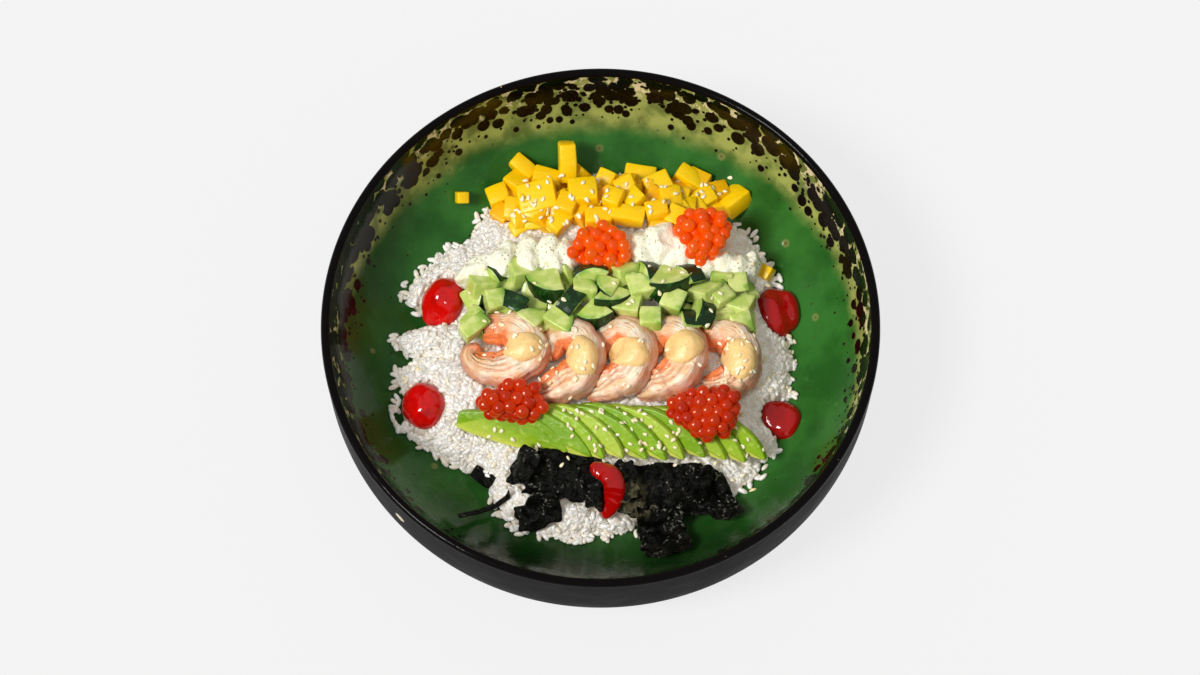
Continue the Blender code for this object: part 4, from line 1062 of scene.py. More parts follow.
def cream_finish(settings):
    """Piped cream cheese: matte ivory with tiny specks of herb."""
    made = Finish(
        "cream_cheese", Roughness=0.42, Subsurface_Weight=0.3, Subsurface_Scale=1.5 * MM,
        Subsurface_Radius=(1.5, 1.3, 0.8),
    )
    base = made.blend(made.clouds(6), settings.cream, tint(255, 253, 234))
    strewn = made.span(made.clouds(9, 2), 0.42, 0.55)
    specks = made.times(made.span(made.dots(1.9), 0.3, 0.2), strewn)
    base = made.blend(made.times(specks, 0.75), base, tint(150, 146, 84))
    bumps = made.relief(made.clouds(2.6, 4, 0.65), 1.3)
    return made.done(Base_Color=base, Normal=bumps)


def cream_rope(lobes, ground):
    """Overlapping lobes joined in one soft rope."""
    heap = bmesh.new()
    for x, y, long, wide, turn, rise in lobes:
        centre = Vector((x, y, ground.smooth_height(x, y, 3) + CREAM_LIFT + rise))
        part = bmesh.new()
        bmesh.ops.create_uvsphere(part, u_segments=28, v_segments=18, radius=1)
        part.transform(Matrix.Diagonal((long, wide, CREAM_HALF_HEIGHT, 1)))
        for vert in part.verts:
            wavy(vert, 5, 1.8, x)
        part.transform(Matrix.Translation(centre) @ Matrix.Rotation(turn * DEG, 4, "Z"))
        absorb(heap, part)
    made = remeshed(heap, CREAM_CELL, CREAM_SMOOTHING)
    for vert in made.verts:
        wavy(vert, 3.4, 0.5, 1)
    return made


def shrimp_finish(settings):
    """Cooked shrimp: wet cream-pink flesh, orange on the back, at both ends and between the segments, with
    painted shade on the inner side of the curl and in the grooves, and paler patches that are partly painted
    highlight.
    """
    made = Finish(
        "shrimp_flesh", Roughness=0.24, Subsurface_Weight=0.3, Subsurface_Scale=2 * MM,
        Subsurface_Radius=(2.0, 1.0, 0.5), Coat_Weight=0.3,
    )
    along, outer, groove = made.kept("along"), made.kept("outer"), made.kept("groove")
    lengthwise, across = made.times(along, 14.0), made.times(outer, 9.0)
    body = made.node("ShaderNodeCombineXYZ", X=lengthwise, Y=across)
    strands = made.clouds(1.0, 4, 0.6, body.outputs[0])
    patches = made.clouds(8, 4, 0.6)
    # Paler patches: partly the flesh's own whiter parts and partly painted highlight.
    base = made.blend(made.span(made.clouds(7, 4), 0.35, 0.65), settings.flesh, tint(255, 238, 212))
    base = made.blend(made.span(strands, 0.5, 0.68, 0, 0.6), base, tint(234, 150, 92))
    back = made.span(made.calc("MULTIPLY_ADD", patches, 1.8, outer), 1.12, 1.5)
    head = made.times(made.span(along, 0.26, 0.04), made.span(patches, 0.4, 0.55))
    tail = made.times(made.span(along, 0.84, 0.98), made.span(patches, 0.42, 0.58))
    ring = made.times(made.span(groove, 0.2, 0.9), 0.22)
    orange = made.calc("MAXIMUM", made.calc("MAXIMUM", head, tail), made.calc("MAXIMUM", back, ring))
    base = made.blend(made.times(orange, 0.88), base, settings.stripe)
    # Painted shade: the inner side of the curl darkens to a red-brown.
    base = made.blend(made.span(outer, -0.6, -0.98, 0, 0.6), base, tint(176, 66, 28))
    # Painted shade in the grooves between the segments and between the strands.
    base = made.blend(made.span(groove, 0.35, 1.0, 0, 0.5), base, tint(190, 108, 56))
    bumps = made.relief(strands, 1.1)
    bumps = made.relief(made.clouds(2.6, 3), 0.5, bumps)
    return made.done(Base_Color=base, Normal=bumps, Roughness=made.span(patches, 0.3, 0.7, 0.2, 0.36))


def smooth_line(points, share):
    """The place at a share of the way along a smooth line through points, from its first to its last."""
    spans = len(points) - 1
    number = min(int(share * spans), spans - 1)
    part = share * spans - number
    near = [Vector(points[max(0, min(spans, number + step))]) for step in (-1, 0, 1, 2)]
    pull = (near[2] - near[0]) * 0.5
    push = (near[3] - near[1]) * 0.5
    cube, square = part**3, part**2
    return (
        near[1] * (2 * cube - 3 * square + 1) + pull * (cube - 2 * square + part)
        + near[2] * (3 * square - 2 * cube) + push * (cube - square)
    )


def body_stations(curl):
    """Places along a shrimp's body that each hold its round section, and how deep each lies in a groove."""
    stations, grooves = [], []
    for step in range(BODY_STATIONS + 1):
        share = step / BODY_STATIONS
        x, y, radius = smooth_line(curl, share)
        ahead = smooth_line(curl, min(share + 0.01, 1.0)) - smooth_line(curl, min(share, 0.99))
        forward = Vector((ahead.x, ahead.y, 0)).normalized()
        across = Vector((forward.y, -forward.x, 0))
        beat = share * BODY_SEGMENTS % 1
        groove = math.exp(-((min(beat, 1 - beat) / 0.1) ** 2)) if 0.08 < share < 0.8 else 0.0
        ends = min(1.0, (step + 0.3) / 5) * (2 - min(1.0, (step + 0.3) / 5))
        left = min(1.0, (BODY_STATIONS - step + 0.3) / 4)
        radius *= (1 + 0.05 * math.sin(math.pi * beat) - 0.09 * groove) * math.sqrt(ends * left * (2 - left))
        basis = Matrix((across, Vector((0, 0, 1)), -forward)).transposed().to_4x4()
        flat = Matrix.Diagonal((radius, radius * BODY_FLATNESS, 1, 1))
        stations.append(Matrix.Translation((x, y, 0)) @ basis @ flat)
        grooves.append(groove)
    return stations, grooves


def curled_shrimp(number):
    """One peeled shrimp: a curled body with raised segments that is slit in strands towards its tail end."""
    x, y, raised = SHRIMPS[number - 1]
    stations, grooves = body_stations(CURLS[number - 1])
    bm = new_heap("along", "outer", "groove")
    rings = sweep(bm, stations, BODY_SIDES)
    along, outer, cut = (bm.verts.layers.float[name] for name in ("along", "outer", "groove"))
    for step, (ring, station) in enumerate(zip(rings, stations)):
        share = step / BODY_STATIONS
        middle = station.translation
        out = station.col[0].to_3d().normalized()
        opened = min(1.0, max(0.0, (share - 0.42) / 0.2)) * min(1.0, (1 - share) / 0.06)
        for vert in ring:
            away = (vert.co - middle).normalized()
            side = away.dot(out)
            drift = 0.3 * noise.noise(Vector((share * 7, number, 0)))
            split = opened * max(0.0, away.z) * max(
                math.exp(-(((side - at - drift) / STRAND_WIDTH) ** 2)) for at in STRAND_SPLITS
            )
            vert[along], vert[outer], vert[cut] = share, side, max(0.3 * grooves[step], split)
            wave = noise.noise(Vector((side * 3.5, share * 4, number + away.z * 2)))
            fine = noise.noise(Vector((side * 9, share * 6, number + away.z * 5)))
            vert.co += away * (0.9 * wave + 0.5 * fine - STRAND_DEPTH * split)
    bm.transform(Matrix.Translation((x, y, 0)) @ Matrix.Rotation(-raised * DEG, 4, "Y"))
    raise_to_top(bm, f"shrimp_{number}")
    return bm


def dressing_finish(settings):
    """Thick peach dressing with fine specks of spice."""
    made = Finish(
        "dressing", Roughness=0.36, Subsurface_Weight=0.25, Subsurface_Scale=1.5 * MM,
        Subsurface_Radius=(2.0, 1.2, 0.5),
    )
    base = made.blend(made.clouds(7), settings.dressing, tint(252, 216, 150))
    base = made.blend(made.span(made.dots(1.9), 0.2, 0.12, 0, 0.6), base, tint(226, 140, 52))
    return made.done(Base_Color=base, Normal=made.relief(made.clouds(3, 3), 0.7))


def dollop(ground, centre, radii, turn, thickness, wobble, seed, sag=1.0):
    """A drop of something thick that lies over what is under it, with an uneven round outline."""
    bm = bmesh.new()
    bmesh.ops.create_uvsphere(bm, u_segments=44, v_segments=26, radius=1)
    middle = ground.smooth_height(*centre, 3)
    for vert in bm.verts:
        angle = math.atan2(vert.co.y, vert.co.x)
        stretch = 1 + wobble * noise.noise(Vector((math.cos(angle), math.sin(angle), seed)) * 1.4)
        flat = Matrix.Rotation(turn * DEG, 2) @ Vector((vert.co.x * radii[0], vert.co.y * radii[1]))
        x, y = Vector(centre) + flat * stretch
        low = ground.smooth_height(x, y, 1.8, middle)
        low = middle + (low - middle) * sag
        swell = 1 + 0.2 * noise.noise(Vector((x, y, seed)) / 6)
        vert.co = (x, y, low + (thickness * swell * vert.co.z if vert.co.z > 0 else 1.2 * vert.co.z))
    return bm


def avocado_finish(settings):
    """Ripe avocado: yellow-green near the stone and bright green under the skin, in soft patches, with a
    darker green edge that is partly painted shade between the slices.
    """
    made = Finish(
        "avocado_flesh", Roughness=0.27, Subsurface_Weight=0.2, Subsurface_Scale=1.5 * MM,
        Subsurface_Radius=(1.0, 1.6, 0.3),
    )
    rim = made.kept("rim")
    tone = made.times(made.calc("SUBTRACT", made.kept("tone"), 0.5), 0.4)
    rim = made.calc("ADD", made.calc("ADD", rim, tone), made.times(made.clouds(9, 4), 0.35))
    base = made.blend(made.span(rim, 0.5, 1.25), settings.avocado, settings.avocado_rim)
    # Darker green edge: partly the flesh under the skin and partly painted shade between the slices.
    base = made.blend(made.span(rim, 1.12, 1.3, 0, 0.5), base, tint(96, 146, 18))
    base = made.blend(made.span(made.clouds(3, 3, 0.6), 0.55, 0.75, 0, 0.5), base, tint(222, 228, 130))
    return made.done(Base_Color=base, Normal=made.relief(made.clouds(3, 4), 0.5))


def avocado_slice(number):
    """One slice: a long rounded outline with a flat lower side, leaning on the next slice."""
    share = number / (AVOCADO_SLICES - 1)
    rng = random.Random(number)
    middle = AVOCADO_LEFT.lerp(AVOCADO_RIGHT, share)
    lean = AVOCADO_LEAN[0] + (AVOCADO_LEAN[1] - AVOCADO_LEAN[0]) * share
    long = AVOCADO_LENGTH * rng.uniform(0.93, 1.05)
    point = 2.6 if number else 6
    if number == 0:
        long *= AVOCADO_FIRST_LONGER
    shade = rng.random()
    bm = bmesh.new()
    rim = bm.verts.layers.float.new("rim")
    tone = bm.verts.layers.float.new("tone")
    bmesh.ops.create_circle(bm, cap_ends=True, segments=44, radius=1)
    bmesh.ops.inset_region(bm, faces=bm.faces[:], thickness=0.18, use_even_offset=True)
    bmesh.ops.inset_region(bm, faces=[max(bm.faces, key=lambda face: len(face.verts))], thickness=0.3)
    wall = bmesh.ops.extrude_face_region(bm, geom=bm.faces[:])["geom"]
    top = [part for part in wall if isinstance(part, bmesh.types.BMVert)]
    bmesh.ops.translate(bm, verts=top, vec=(0, 0, 1))
    bmesh.ops.translate(bm, verts=bm.verts, vec=(0, 0, -0.5))
    bmesh.ops.recalc_face_normals(bm, faces=bm.faces)
    for vert in bm.verts:
        vert[rim] = min(1.0, vert.co.xy.length) if vert.co.y > -0.2 else 0.35
        vert[tone] = shade
        if number == 0:
            vert.co.x = max(vert.co.x, AVOCADO_BLUNT_END)
        vert.co.y *= (1.001 - min(1.0, abs(vert.co.x)) ** point) ** 0.3
        if vert.co.y < 0:
            vert.co.y *= 0.45
    bm.transform(Matrix.Diagonal((long / 2, AVOCADO_HEIGHT / 1.45, AVOCADO_THICKNESS, 1)))
    edges = [edge for edge in bm.edges if edge.calc_face_angle(0) > 1]
    bmesh.ops.bevel(bm, geom=edges, offset=0.5, segments=2, affect="EDGES", profile=0.5, material=-1)
    swing = AVOCADO_DIRECTION * min(1.0, 0.5 + 0.17 * number) + rng.gauss(0, 1.5)
    for vert in bm.verts:
        vert.co.z += 1.1 * (vert.co.x / (long / 2)) ** 2
        wavy(vert, 12, 0.5, number)
    bm.transform(Matrix.Rotation((90 - lean) * DEG, 4, "X"))
    bm.transform(Matrix.Translation((middle.x, middle.y, 0)) @ Matrix.Rotation(swing * DEG, 4, "Z"))
    raise_to_top(bm, f"avocado_{number + 1:02d}")
    return bm


def seaweed_finish(settings):
    """Roasted seaweed: near black with olive patches that are partly painted sheen, a fine net of relief,
    pale painted glints and a worn patch that is partly painted sheen.
    """
    made = Finish("seaweed_sheet", Roughness=0.3, Specular_IOR_Level=0.12)
    net = made.clouds(1.5, 4, 0.7)
    # Olive patches: partly the sheet's own cast and partly painted sheen.
    base = made.blend(made.span(made.clouds(6, 4), 0.5, 0.7), settings.seaweed, tint(18, 17, 9))
    # Painted highlight: small pale spots on the fine net.
    glints = made.times(made.span(net, 0.56, 0.64), made.span(made.clouds(8, 3), 0.5, 0.6))
    base = made.blend(made.times(glints, 0.85), base, tint(150, 148, 136))
    # The worn patch: a paler olive, partly a thin worn place and partly painted sheen.
    holes = made.span(made.clouds(4, 4), 0.42, 0.56)
    worn = made.times(made.nearby(WORN_AND_SHEEN_SEAWEED, 13, 6), holes)
    base = made.blend(made.times(worn, 0.5), base, tint(112, 106, 74))
    bumps = made.relief(net, 0.8)
    bumps = made.relief(made.clouds(4, 3), 2.2, bumps)
    return made.done(Base_Color=base, Normal=bumps, Roughness=made.span(net, 0.35, 0.65, 0.5, 0.22))


def torn_sheet(number, ground):
    """One torn sheet, crumpled over what lies under it."""
    x, y, long, wide, turn = SEAWEED[number - 1]
    narrow = min(long, wide) < SEAWEED_STRIP
    bm = bmesh.new()
    bmesh.ops.create_grid(
        bm, x_segments=max(3, round(long / SEAWEED_CELL)), y_segments=max(2, round(wide / SEAWEED_CELL)),
        size=0.5,
    )
    place = Matrix.Translation((x, y, 0)) @ Matrix.Rotation(turn * DEG, 4, "Z")
    lift = 0.5 + 0.5 * (number % 3)
    for vert in bm.verts:
        flat = Vector((vert.co.x * long, vert.co.y * wide, 0))
        edge = max(abs(vert.co.x), abs(vert.co.y)) * 2
        corner = (abs(vert.co.x * vert.co.y) * 4) ** 2
        tear = noise.fractal(flat.normalized() * 3.5 + Vector((number * 9, 0, 0)), 0.9, 2, 4)
        ragged = noise.fractal(flat / 4 + Vector((number * 5, 0, 0)), 0.9, 2, 3)
        torn = max(0.0, tear + 0.4) + 0.6 * corner + 0.25 * ragged
        flat *= 1 - (0.04 if narrow else 0.2) * torn * edge**3
        spot = place @ flat
        bare = inner_height(min(spot.xy.length, WALL_IN))
        base = ground.highest(spot.x, spot.y, SEAWEED_DRAPE, bare)
        folds = noise.ridged_multi_fractal(spot / 10 + Vector((0, 0, number)), 1, 2, 3, 1, 2)
        small = noise.noise(spot / 3.6 + Vector((0, 0, number)))
        vert.co = (spot.x, spot.y, base + lift + (0.4 if narrow else 2.4) * folds + 1.3 * small)
    for _ in range(2):
        bmesh.ops.smooth_vert(
            bm, verts=bm.verts, factor=0.5, use_axis_x=True, use_axis_y=True, use_axis_z=True
        )
    return bm


def sauce_finish(settings):
    """Thick glossy chilli sauce."""
    made = Finish(
        "chilli_sauce", Roughness=0.1, Subsurface_Weight=0.1, Subsurface_Scale=1 * MM,
        Subsurface_Radius=(2.5, 0.3, 0.2),
    )
    apart = made.node("ShaderNodeSeparateXYZ", Vector=made.place)
    base = made.blend(made.span(made.clouds(6, 3), 0.45, 0.8), settings.chilli, tint(160, 4, 2))
    base = made.blend(made.span(apart.outputs["X"], -50, 10, 0, 0.75), base, tint(146, 3, 3))
    return made.done(Base_Color=base, Normal=made.relief(made.clouds(3.4, 3), 0.22))


def crescent(ground):
    """A curved stroke of sauce on the seaweed."""
    stations = []
    for step in range(CRESCENT_STEPS + 1):
        share = step / CRESCENT_STEPS
        angle = (CRESCENT_ARC[0] + (CRESCENT_ARC[1] - CRESCENT_ARC[0]) * share) * DEG
        x = CRESCENT_CENTRE[0] + CRESCENT_REACH[0] * math.cos(angle)
        y = CRESCENT_CENTRE[1] + CRESCENT_REACH[1] * math.sin(angle)
        radius = CRESCENT_RADIUS * max(0.02, math.sin(math.pi * (0.004 + 0.992 * share))) ** 0.25
        centre = Vector((x, y, ground.smooth_height(x, y, 4.5) + 1.6 + 0.2 * radius))
        basis = Matrix.Rotation(angle, 4, "Z") @ Matrix.Rotation(90 * DEG, 4, "X")
        flat = Matrix.Diagonal((radius, radius * CRESCENT_FLATNESS, 1, 1))
        stations.append(Matrix.Translation(centre) @ basis @ flat)
    bm = bmesh.new()
    sweep(bm, stations, 20)
    return bm


def roe_finish(name, tone):
    """Cured roe: wet eggs with painted shade on top, a painted glow underneath, and a small pale painted
    highlight on each.
    """
    # Painted light: the eggs glow faintly in their own colour.
    made = Finish(
        name, Roughness=0.1, Specular_IOR_Level=0.3, Subsurface_Weight=0.3, Subsurface_Scale=1.5 * MM,
        Subsurface_Radius=(2.4, 0.7, 0.15), Emission_Strength=0.1, Emission_Color=(*tone, 1),
    )
    shade, top = made.kept("tone"), made.kept("top")
    deep = tuple(part * 0.62 for part in tone)
    glow = (1.0, tone[1] * 2.6 + 0.05, tone[2] + 0.006)
    base = made.blend(made.times(made.span(shade, 0, 1), 0.5), tone, glow)
    # Painted light: the side away from the key light glows a lighter orange.
    base = made.blend(made.span(top, 0.5, -0.3, 0, 0.8), base, glow)
    # Painted shade: the side towards the key light turns a deeper red.
    base = made.blend(made.span(top, 0.3, 0.85, 0, 0.7), base, deep)
    # Painted highlight: a small pale spot where an egg faces the key light, stronger on some eggs.
    painted_highlight = made.times(made.span(top, 0.974, 0.988), made.span(shade, 0.3, 0.8, 0.05, 0.8))
    base = made.blend(painted_highlight, base, tint(255, 206, 168))
    return made.done(Base_Color=base, Normal=made.relief(made.clouds(2, 2), 0.05))


def lobed(flat, turn):
    """How far a cluster's lobed outline reaches in the direction of each place, in parts of its size."""
    return 0.94 + 0.15 * np.sin(3 * np.arctan2(flat[:, 1], flat[:, 0]) + turn)


def roe_places(name, egg):
    """Centres of a cluster's eggs: scattered over a mound, then pushed apart until none sits in another."""
    x, y, long, wide, height, count = ROE_CLUSTERS[name]
    rng = np.random.default_rng(len(name) + count)
    spread = rng.uniform(-1, 1, (count * 6, 2))
    spread = spread[np.hypot(*spread.T) < lobed(spread, count)][:count]
    reach = np.array([long - egg / 2, wide - egg / 2])
    spots = np.empty((len(spread), 3))
    spots[:, :2] = spread * reach
    mound_share = np.sqrt(np.clip(1 - (spread**2).sum(1), 0, 1))
    spots[:, 2] = ROE_MOUND * mound_share * rng.uniform(0.1, 1.3, len(spread))
    for _ in range(ROE_ROUNDS):
        gaps = spots[:, None] - spots[None]
        far = np.linalg.norm(gaps, axis=2) + np.eye(len(spots)) * 99
        push = np.clip(ROE_CLOSENESS * egg - far, 0, None) / far
        spots += 0.3 * (gaps * push[:, :, None]).sum(1)
        spots[:, 2] -= 0.05
        flat = spots[:, :2] / reach
        out = (np.hypot(*flat.T) / lobed(flat, count)).clip(1)
        spots[:, :2] /= (1 + (out - 1) * 0.35)[:, None]
        spots[:, 2] = spots[:, 2].clip(-3, ROE_MOUND + 1)
    return spots + np.array([x, y, height])


def seed_shape(long):
    """One sesame seed: flat, round at one end and pointed at the other."""
    bm = bmesh.new()
    bmesh.ops.create_uvsphere(
        bm, u_segments=8, v_segments=5, radius=1, matrix=Matrix.Rotation(90 * DEG, 4, "Y")
    )
    for vert in bm.verts:
        slim = 0.31 * (1 - 0.38 * vert.co.x)
        vert.co = (vert.co.x * long / 2, vert.co.y * long * slim, vert.co.z * long * 0.17)
    bmesh.ops.recalc_face_normals(bm, faces=bm.faces)
    return bm


def seed_finish(settings):
    """Hulled sesame: cream, slightly toasted at places."""
    made = Finish("sesame", Roughness=0.4)
    base = made.blend(made.kept("tone"), settings.seed_colour, tint(242, 222, 168))
    return made.done(Base_Color=base, Normal=made.relief(made.clouds(0.8, 2), 0.06))


def seed_places(long, names):
    """Where the seeds lie: in patches, flat on whatever is on top there."""
    rng = random.Random(12)
    ground = Ground(*names)
    eggs = Ground(*(name for name in names if name.startswith("roe") or name.endswith("_drop")))
    places = []
    for x, y, reach, half, count in SEED_PATCHES:
        for _ in range(count):
            a, b = x + reach * rng.uniform(-1, 1), y + half * rng.uniform(-1, 1)
            hit = ground.under(a, b)
            if hit is None:
                continue
            place, normal = hit
            if normal.z < 0.35 or eggs.under(a, b):
                continue
            turned = lie_on(place, normal, rng.uniform(0, 2 * math.pi), rng.gauss(0, 10) * DEG, 0.14 * long)
            places.append(turned @ Matrix.Scale(rng.uniform(0.85, 1.08), 4))
    return places


def settings_of(context):
    """The bowl's settings in this scene."""
    return context.scene.rice_bowl


MADE = []


def keep(piece):
    """Remembers a finished piece, so that later ones can lie on it."""
    MADE.append(piece.name)


def made_so_far(*starts):
    """Names of the pieces made so far that start with one of these words."""
    return [name for name in MADE if name.startswith(starts)]


class RICEBOWL_OT_bowl(bpy.types.Operator):
    """Turn and glaze the bowl"""

    bl_idname = "ricebowl.bowl"
    bl_label = "Bowl"

    def execute(self, context):
        settings = settings_of(context).bowl
        materials = (glaze(settings), lip_glaze(), bisque(settings))
        keep(finished("bowl_glazed", turned_bowl(), materials, ["bowl"], sharp=50))
        return {"FINISHED"}


class RICEBOWL_OT_rice_core(bpy.types.Operator):
    """Make the bed of rice that the toppings lie on"""

    bl_idname = "ricebowl.rice_core"
    bl_label = "Rice bed"

    def execute(self, context):
        material = rice_finish(settings_of(context).rice, "rice_bed", True)
        keep(finished("rice_core", rice_core(), [material], ["rice"]))
        return {"FINISHED"}


class RICEBOWL_OT_mango(bpy.types.Operator):
    """Cut the mango heap and the two dice that lie apart"""

    bl_idname = "ricebowl.mango"
    bl_label = "Mango"

    def execute(self, context):
        material = [mango_finish(settings_of(context).fruit)]
        ground = Ground("rice_core", "bowl_glazed")
        keep(finished("mango_dice", mango_heap(ground), material, ["mango_heap"], sharp=48))
        for name, (edge, turn) in MANGO_STRAYS.items():
            keep(finished(name + "_die", stray_die(name, edge, turn), material, [name], sharp=48))
        return {"FINISHED"}


class RICEBOWL_OT_cucumber(bpy.types.Operator):
    """Cut the cucumber heap"""

    bl_idname = "ricebowl.cucumber"
    bl_label = "Cucumber"

    def execute(self, context):
        settings = settings_of(context).fruit
        materials = (cucumber_flesh(settings), cucumber_peel(settings))
        heap = cucumber_heap(Ground("rice_core"))
        keep(finished("cucumber_pieces", heap, materials, ["cucumber_heap"], sharp=48))
        return {"FINISHED"}


class RICEBOWL_OT_cream(bpy.types.Operator):
    """Pipe the two lengths of cream cheese"""

    bl_idname = "ricebowl.cream"
    bl_label = "Cream cheese"

    def execute(self, context):
        material = [cream_finish(settings_of(context).sauce)]
        ground = Ground("rice_core")
        for name, lobes in CREAM_LOBES.items():
            keep(finished(name + "_piped", cream_rope(lobes, ground), material, [name]))
        return {"FINISHED"}


class RICEBOWL_OT_shrimps(bpy.types.Operator):
    """Shape the five shrimps"""

    bl_idname = "ricebowl.shrimps"
    bl_label = "Shrimps"

    def execute(self, context):
        material = [shrimp_finish(settings_of(context).fish)]
        for number in range(1, len(SHRIMPS) + 1):
            node = f"shrimp_{number}"
            keep(finished(node + "_cooked", curled_shrimp(number), material, [node]))
        return {"FINISHED"}


class RICEBOWL_OT_dressing(bpy.types.Operator):
    """Spoon dressing on each shrimp"""

    bl_idname = "ricebowl.dressing"
    bl_label = "Dressing"

    def execute(self, context):
        material = [dressing_finish(settings_of(context).sauce)]
        shrimps = [f"shrimp_{number}_cooked" for number in range(1, len(SHRIMPS) + 1)]
        ground = Ground(*shrimps, "rice_core", "cucumber_pieces")
        for number, (x, y, long, wide, turn) in enumerate(DRESSING, 1):
            drop = dollop(ground, (x, y), (long, wide), turn, DRESSING_THICKNESS, 0.16, number, 0.8)
            node = f"dressing_{number}"
            keep(finished(node + "_spoon", drop, material, [node]))
        return {"FINISHED"}


class RICEBOWL_OT_avocado(bpy.types.Operator):
    """Slice the avocado and fan it"""

    bl_idname = "ricebowl.avocado"
    bl_label = "Avocado"

    def execute(self, context):
        material = [avocado_finish(settings_of(context).fruit)]
        for number in range(AVOCADO_SLICES):
            node = f"avocado_{number + 1:02d}"
            keep(finished(node + "_slice", avocado_slice(number), material, [node], sharp=50))
        return {"FINISHED"}


class RICEBOWL_OT_seaweed(bpy.types.Operator):
    """Tear and lay the seaweed"""

    bl_idname = "ricebowl.seaweed"
    bl_label = "Seaweed"

    def execute(self, context):
        settings = settings_of(context).garnish
        material = [seaweed_finish(settings)]
        for number in range(1, len(SEAWEED) + 1):
            ground = Ground(*made_so_far("rice", "bowl", "seaweed"))
            node = f"seaweed_{number:02d}"
            piece = finished(node + "_torn", torn_sheet(number, ground), material, [node])
            skin = piece.modifiers.new("thickness", "SOLIDIFY")
            skin.thickness = settings.sheet
            skin.offset = 1
            keep(piece)
        return {"FINISHED"}


class RICEBOWL_OT_sauce(bpy.types.Operator):
    """Drop the chilli sauce"""

    bl_idname = "ricebowl.sauce"
    bl_label = "Chilli sauce"

    def execute(self, context):
        material = [sauce_finish(settings_of(context).sauce)]
        bed = Ground("rice_core", "bowl_glazed")
        for number, (name, (x, y, long, wide, turn)) in enumerate(SAUCE_DROPS.items()):
            drop = dollop(bed, (x, y), (long, wide), turn, SAUCE_THICKNESS, 0.14, number + 3, 0.5)
            keep(finished(name + "_drop", drop, material, [name]))
        stroke = crescent(Ground(*made_so_far("rice", "bowl", "seaweed")))
        keep(finished("sauce_crescent_stroke", stroke, material, ["sauce_crescent"]))
        return {"FINISHED"}


class RICEBOWL_OT_roe(bpy.types.Operator):
    """Heap the roe"""

    bl_idname = "ricebowl.roe"
    bl_label = "Roe"

    def execute(self, context):
        settings = settings_of(context).fish
        egg = settings.egg / MM
        finishes = {
            "far": roe_finish("far_roe", settings.far_roe), "near": roe_finish("near_roe", settings.near_roe)
        }
        for name in ROE_CLUSTERS:
            rng = random.Random(name)
            ball = bmesh.new()
            bmesh.ops.create_icosphere(ball, subdivisions=3, radius=egg / 2)
            places = [
                Matrix.Translation(spot) @ Matrix.Scale(rng.uniform(0.93, 1.04), 4)
                for spot in roe_places(name, egg)
            ]
            mesh = joined_copies(name + "_eggs", ball, places, [rng.random() for _ in places])
            keep(finished(name + "_eggs", mesh, [finishes[name.split("_")[1]]], [name]))
        return {"FINISHED"}


class RICEBOWL_OT_grains(bpy.types.Operator):
    """Scatter the loose grains over the rice"""

    bl_idname = "ricebowl.grains"
    bl_label = "Rice grains"

    def execute(self, context):
        settings = settings_of(context).rice
        rng = random.Random(2)
        toppings = [name for name in MADE if name not in ("rice_core", "bowl_glazed")]
        places = grain_places(settings, Ground(*toppings))
        shape = grain_shape(settings.grain_length / MM, settings.grain_width / MM)
        mesh = joined_copies("rice_grains", shape, places, [rng.random() for _ in places])
        keep(finished("rice_grains", mesh, [rice_finish(settings, "rice_grain", False)]))
        return {"FINISHED"}


class RICEBOWL_OT_seeds(bpy.types.Operator):
    """Sprinkle the sesame seeds"""

    bl_idname = "ricebowl.seeds"
    bl_label = "Sesame seeds"

    def execute(self, context):
        settings = settings_of(context).garnish
        long = settings.seed / MM
        rng = random.Random(5)
        places = seed_places(long, MADE)
        mesh = joined_copies("sesame_seeds", seed_shape(long), places, [rng.random() ** 2 for _ in places])
        keep(finished("sesame_seeds", mesh, [seed_finish(settings)]))
        return {"FINISHED"}


class RICEBOWL_OT_stage(bpy.types.Operator):
    """Lay the floor and set the light and the camera"""

    bl_idname = "ricebowl.stage"
    bl_label = "Stage"

    def execute(self, context):
        settings = settings_of(context).stage
        lay_floor(settings)
        light_scene(context.scene, settings)
        set_camera(context.scene)
        return {"FINISHED"}


def lay_floor(settings):
    """A wide pale floor under the bowl."""
    made = Finish(
        "pale_floor", Roughness=0.8, Specular_IOR_Level=0.1, Emission_Strength=settings.glow,
        Emission_Color=(1, 1, 1, 1),
    )
    base = made.blend(made.clouds(240, 2), settings.floor, tint(88, 88, 89))
    bm = bmesh.new()
    bmesh.ops.create_grid(bm, x_segments=1, y_segments=1, size=FLOOR_REACH)
    mesh = bpy.data.meshes.new("floor")
    bm.to_mesh(mesh)
    bm.free()
    mesh.materials.append(made.done(Base_Color=base))
    floor = bpy.data.objects.new("floor", mesh)
    bpy.context.scene.collection.objects.link(floor)


def light_scene(scene, settings):
    """Soft light from the left and even light all round."""
    scene.view_settings.view_transform = "Standard"
    world = bpy.data.worlds.new("studio")
    world.use_nodes = True
    sky = world.node_tree.nodes["Background"]
    sky.inputs["Color"].default_value = (1, 1, 1, 1)
    sky.inputs["Strength"].default_value = settings.fill
    scene.world = world
    lamp = bpy.data.lights.new("soft_key", "SUN")
    lamp.energy = settings.key
    lamp.angle = KEY_WIDTH * DEG
    key = bpy.data.objects.new("soft_key", lamp)
    key.location = KEY_PLACE
    key.rotation_euler = (-key.location).to_track_quat("-Z", "Y").to_euler()
    scene.collection.objects.link(key)


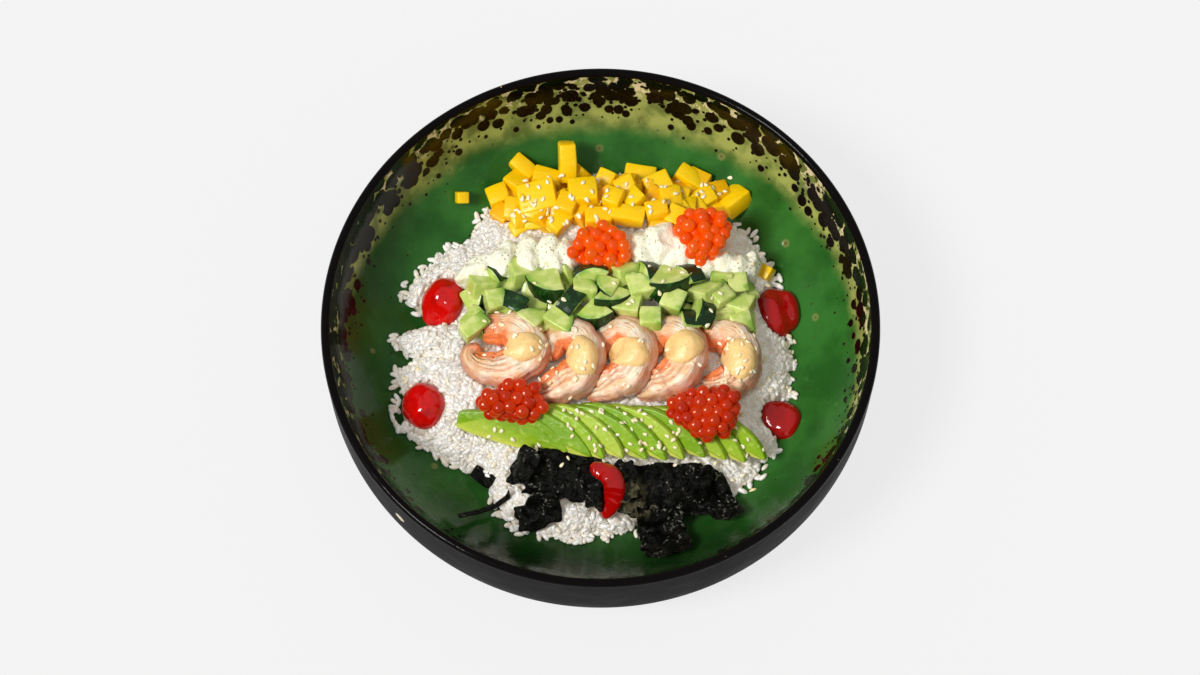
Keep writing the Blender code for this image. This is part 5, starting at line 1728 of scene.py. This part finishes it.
def set_camera(scene):
    """The camera, high over the near side of the bowl."""
    aim = Vector(CAMERA_AIM) * MM
    back = Vector((0, -math.cos(CAMERA_ELEVATION * DEG), math.sin(CAMERA_ELEVATION * DEG)))
    lens = bpy.data.cameras.new("camera")
    lens.lens = CAMERA_LENS
    lens.clip_end = 10
    camera = bpy.data.objects.new("camera", lens)
    camera.location = aim + back * CAMERA_DISTANCE * MM
    camera.rotation_euler = (-back).to_track_quat("-Z", "Y").to_euler()
    scene.collection.objects.link(camera)
    scene.camera = camera


OPERATORS = (
    RICEBOWL_OT_bowl, RICEBOWL_OT_rice_core, RICEBOWL_OT_mango, RICEBOWL_OT_cucumber, RICEBOWL_OT_cream,
    RICEBOWL_OT_shrimps, RICEBOWL_OT_avocado, RICEBOWL_OT_dressing, RICEBOWL_OT_seaweed, RICEBOWL_OT_sauce,
    RICEBOWL_OT_roe, RICEBOWL_OT_grains, RICEBOWL_OT_seeds, RICEBOWL_OT_stage,
)
GROUPS = (
    BowlSettings, RiceSettings, FruitSettings, FishSettings, SauceSettings, GarnishSettings, StageSettings,
    RiceBowlSettings,
)


class RICEBOWL_PT_panel(bpy.types.Panel):
    """Lists the settings and the steps that make the bowl"""

    bl_idname = "RICEBOWL_PT_panel"
    bl_label = "Rice Bowl"
    bl_space_type = "VIEW_3D"
    bl_region_type = "UI"
    bl_category = "Rice Bowl"

    def draw(self, context):
        settings = settings_of(context)
        for group in ("bowl", "rice", "fruit", "fish", "sauce", "garnish", "stage"):
            box = self.layout.box()
            box.label(text=group.capitalize())
            part = getattr(settings, group)
            for name in part.__annotations__:
                box.prop(part, name)
        for step in OPERATORS:
            self.layout.operator(step.bl_idname)


def register():
    """Registers the settings, the steps and the panel."""
    for item in (*GROUPS, *OPERATORS, RICEBOWL_PT_panel):
        bpy.utils.register_class(item)
    bpy.types.Scene.rice_bowl = bpy.props.PointerProperty(type=RiceBowlSettings)


def unregister():
    """Takes them out again."""
    del bpy.types.Scene.rice_bowl
    for item in reversed((*GROUPS, *OPERATORS, RICEBOWL_PT_panel)):
        bpy.utils.unregister_class(item)


def main():
    """Makes every piece in order."""
    noise.seed_set(WOBBLE_SEED)
    register()
    for step in OPERATORS:
        group, name = step.bl_idname.split(".")
        getattr(getattr(bpy.ops, group), name)()


if __name__ == "__main__":
    main()
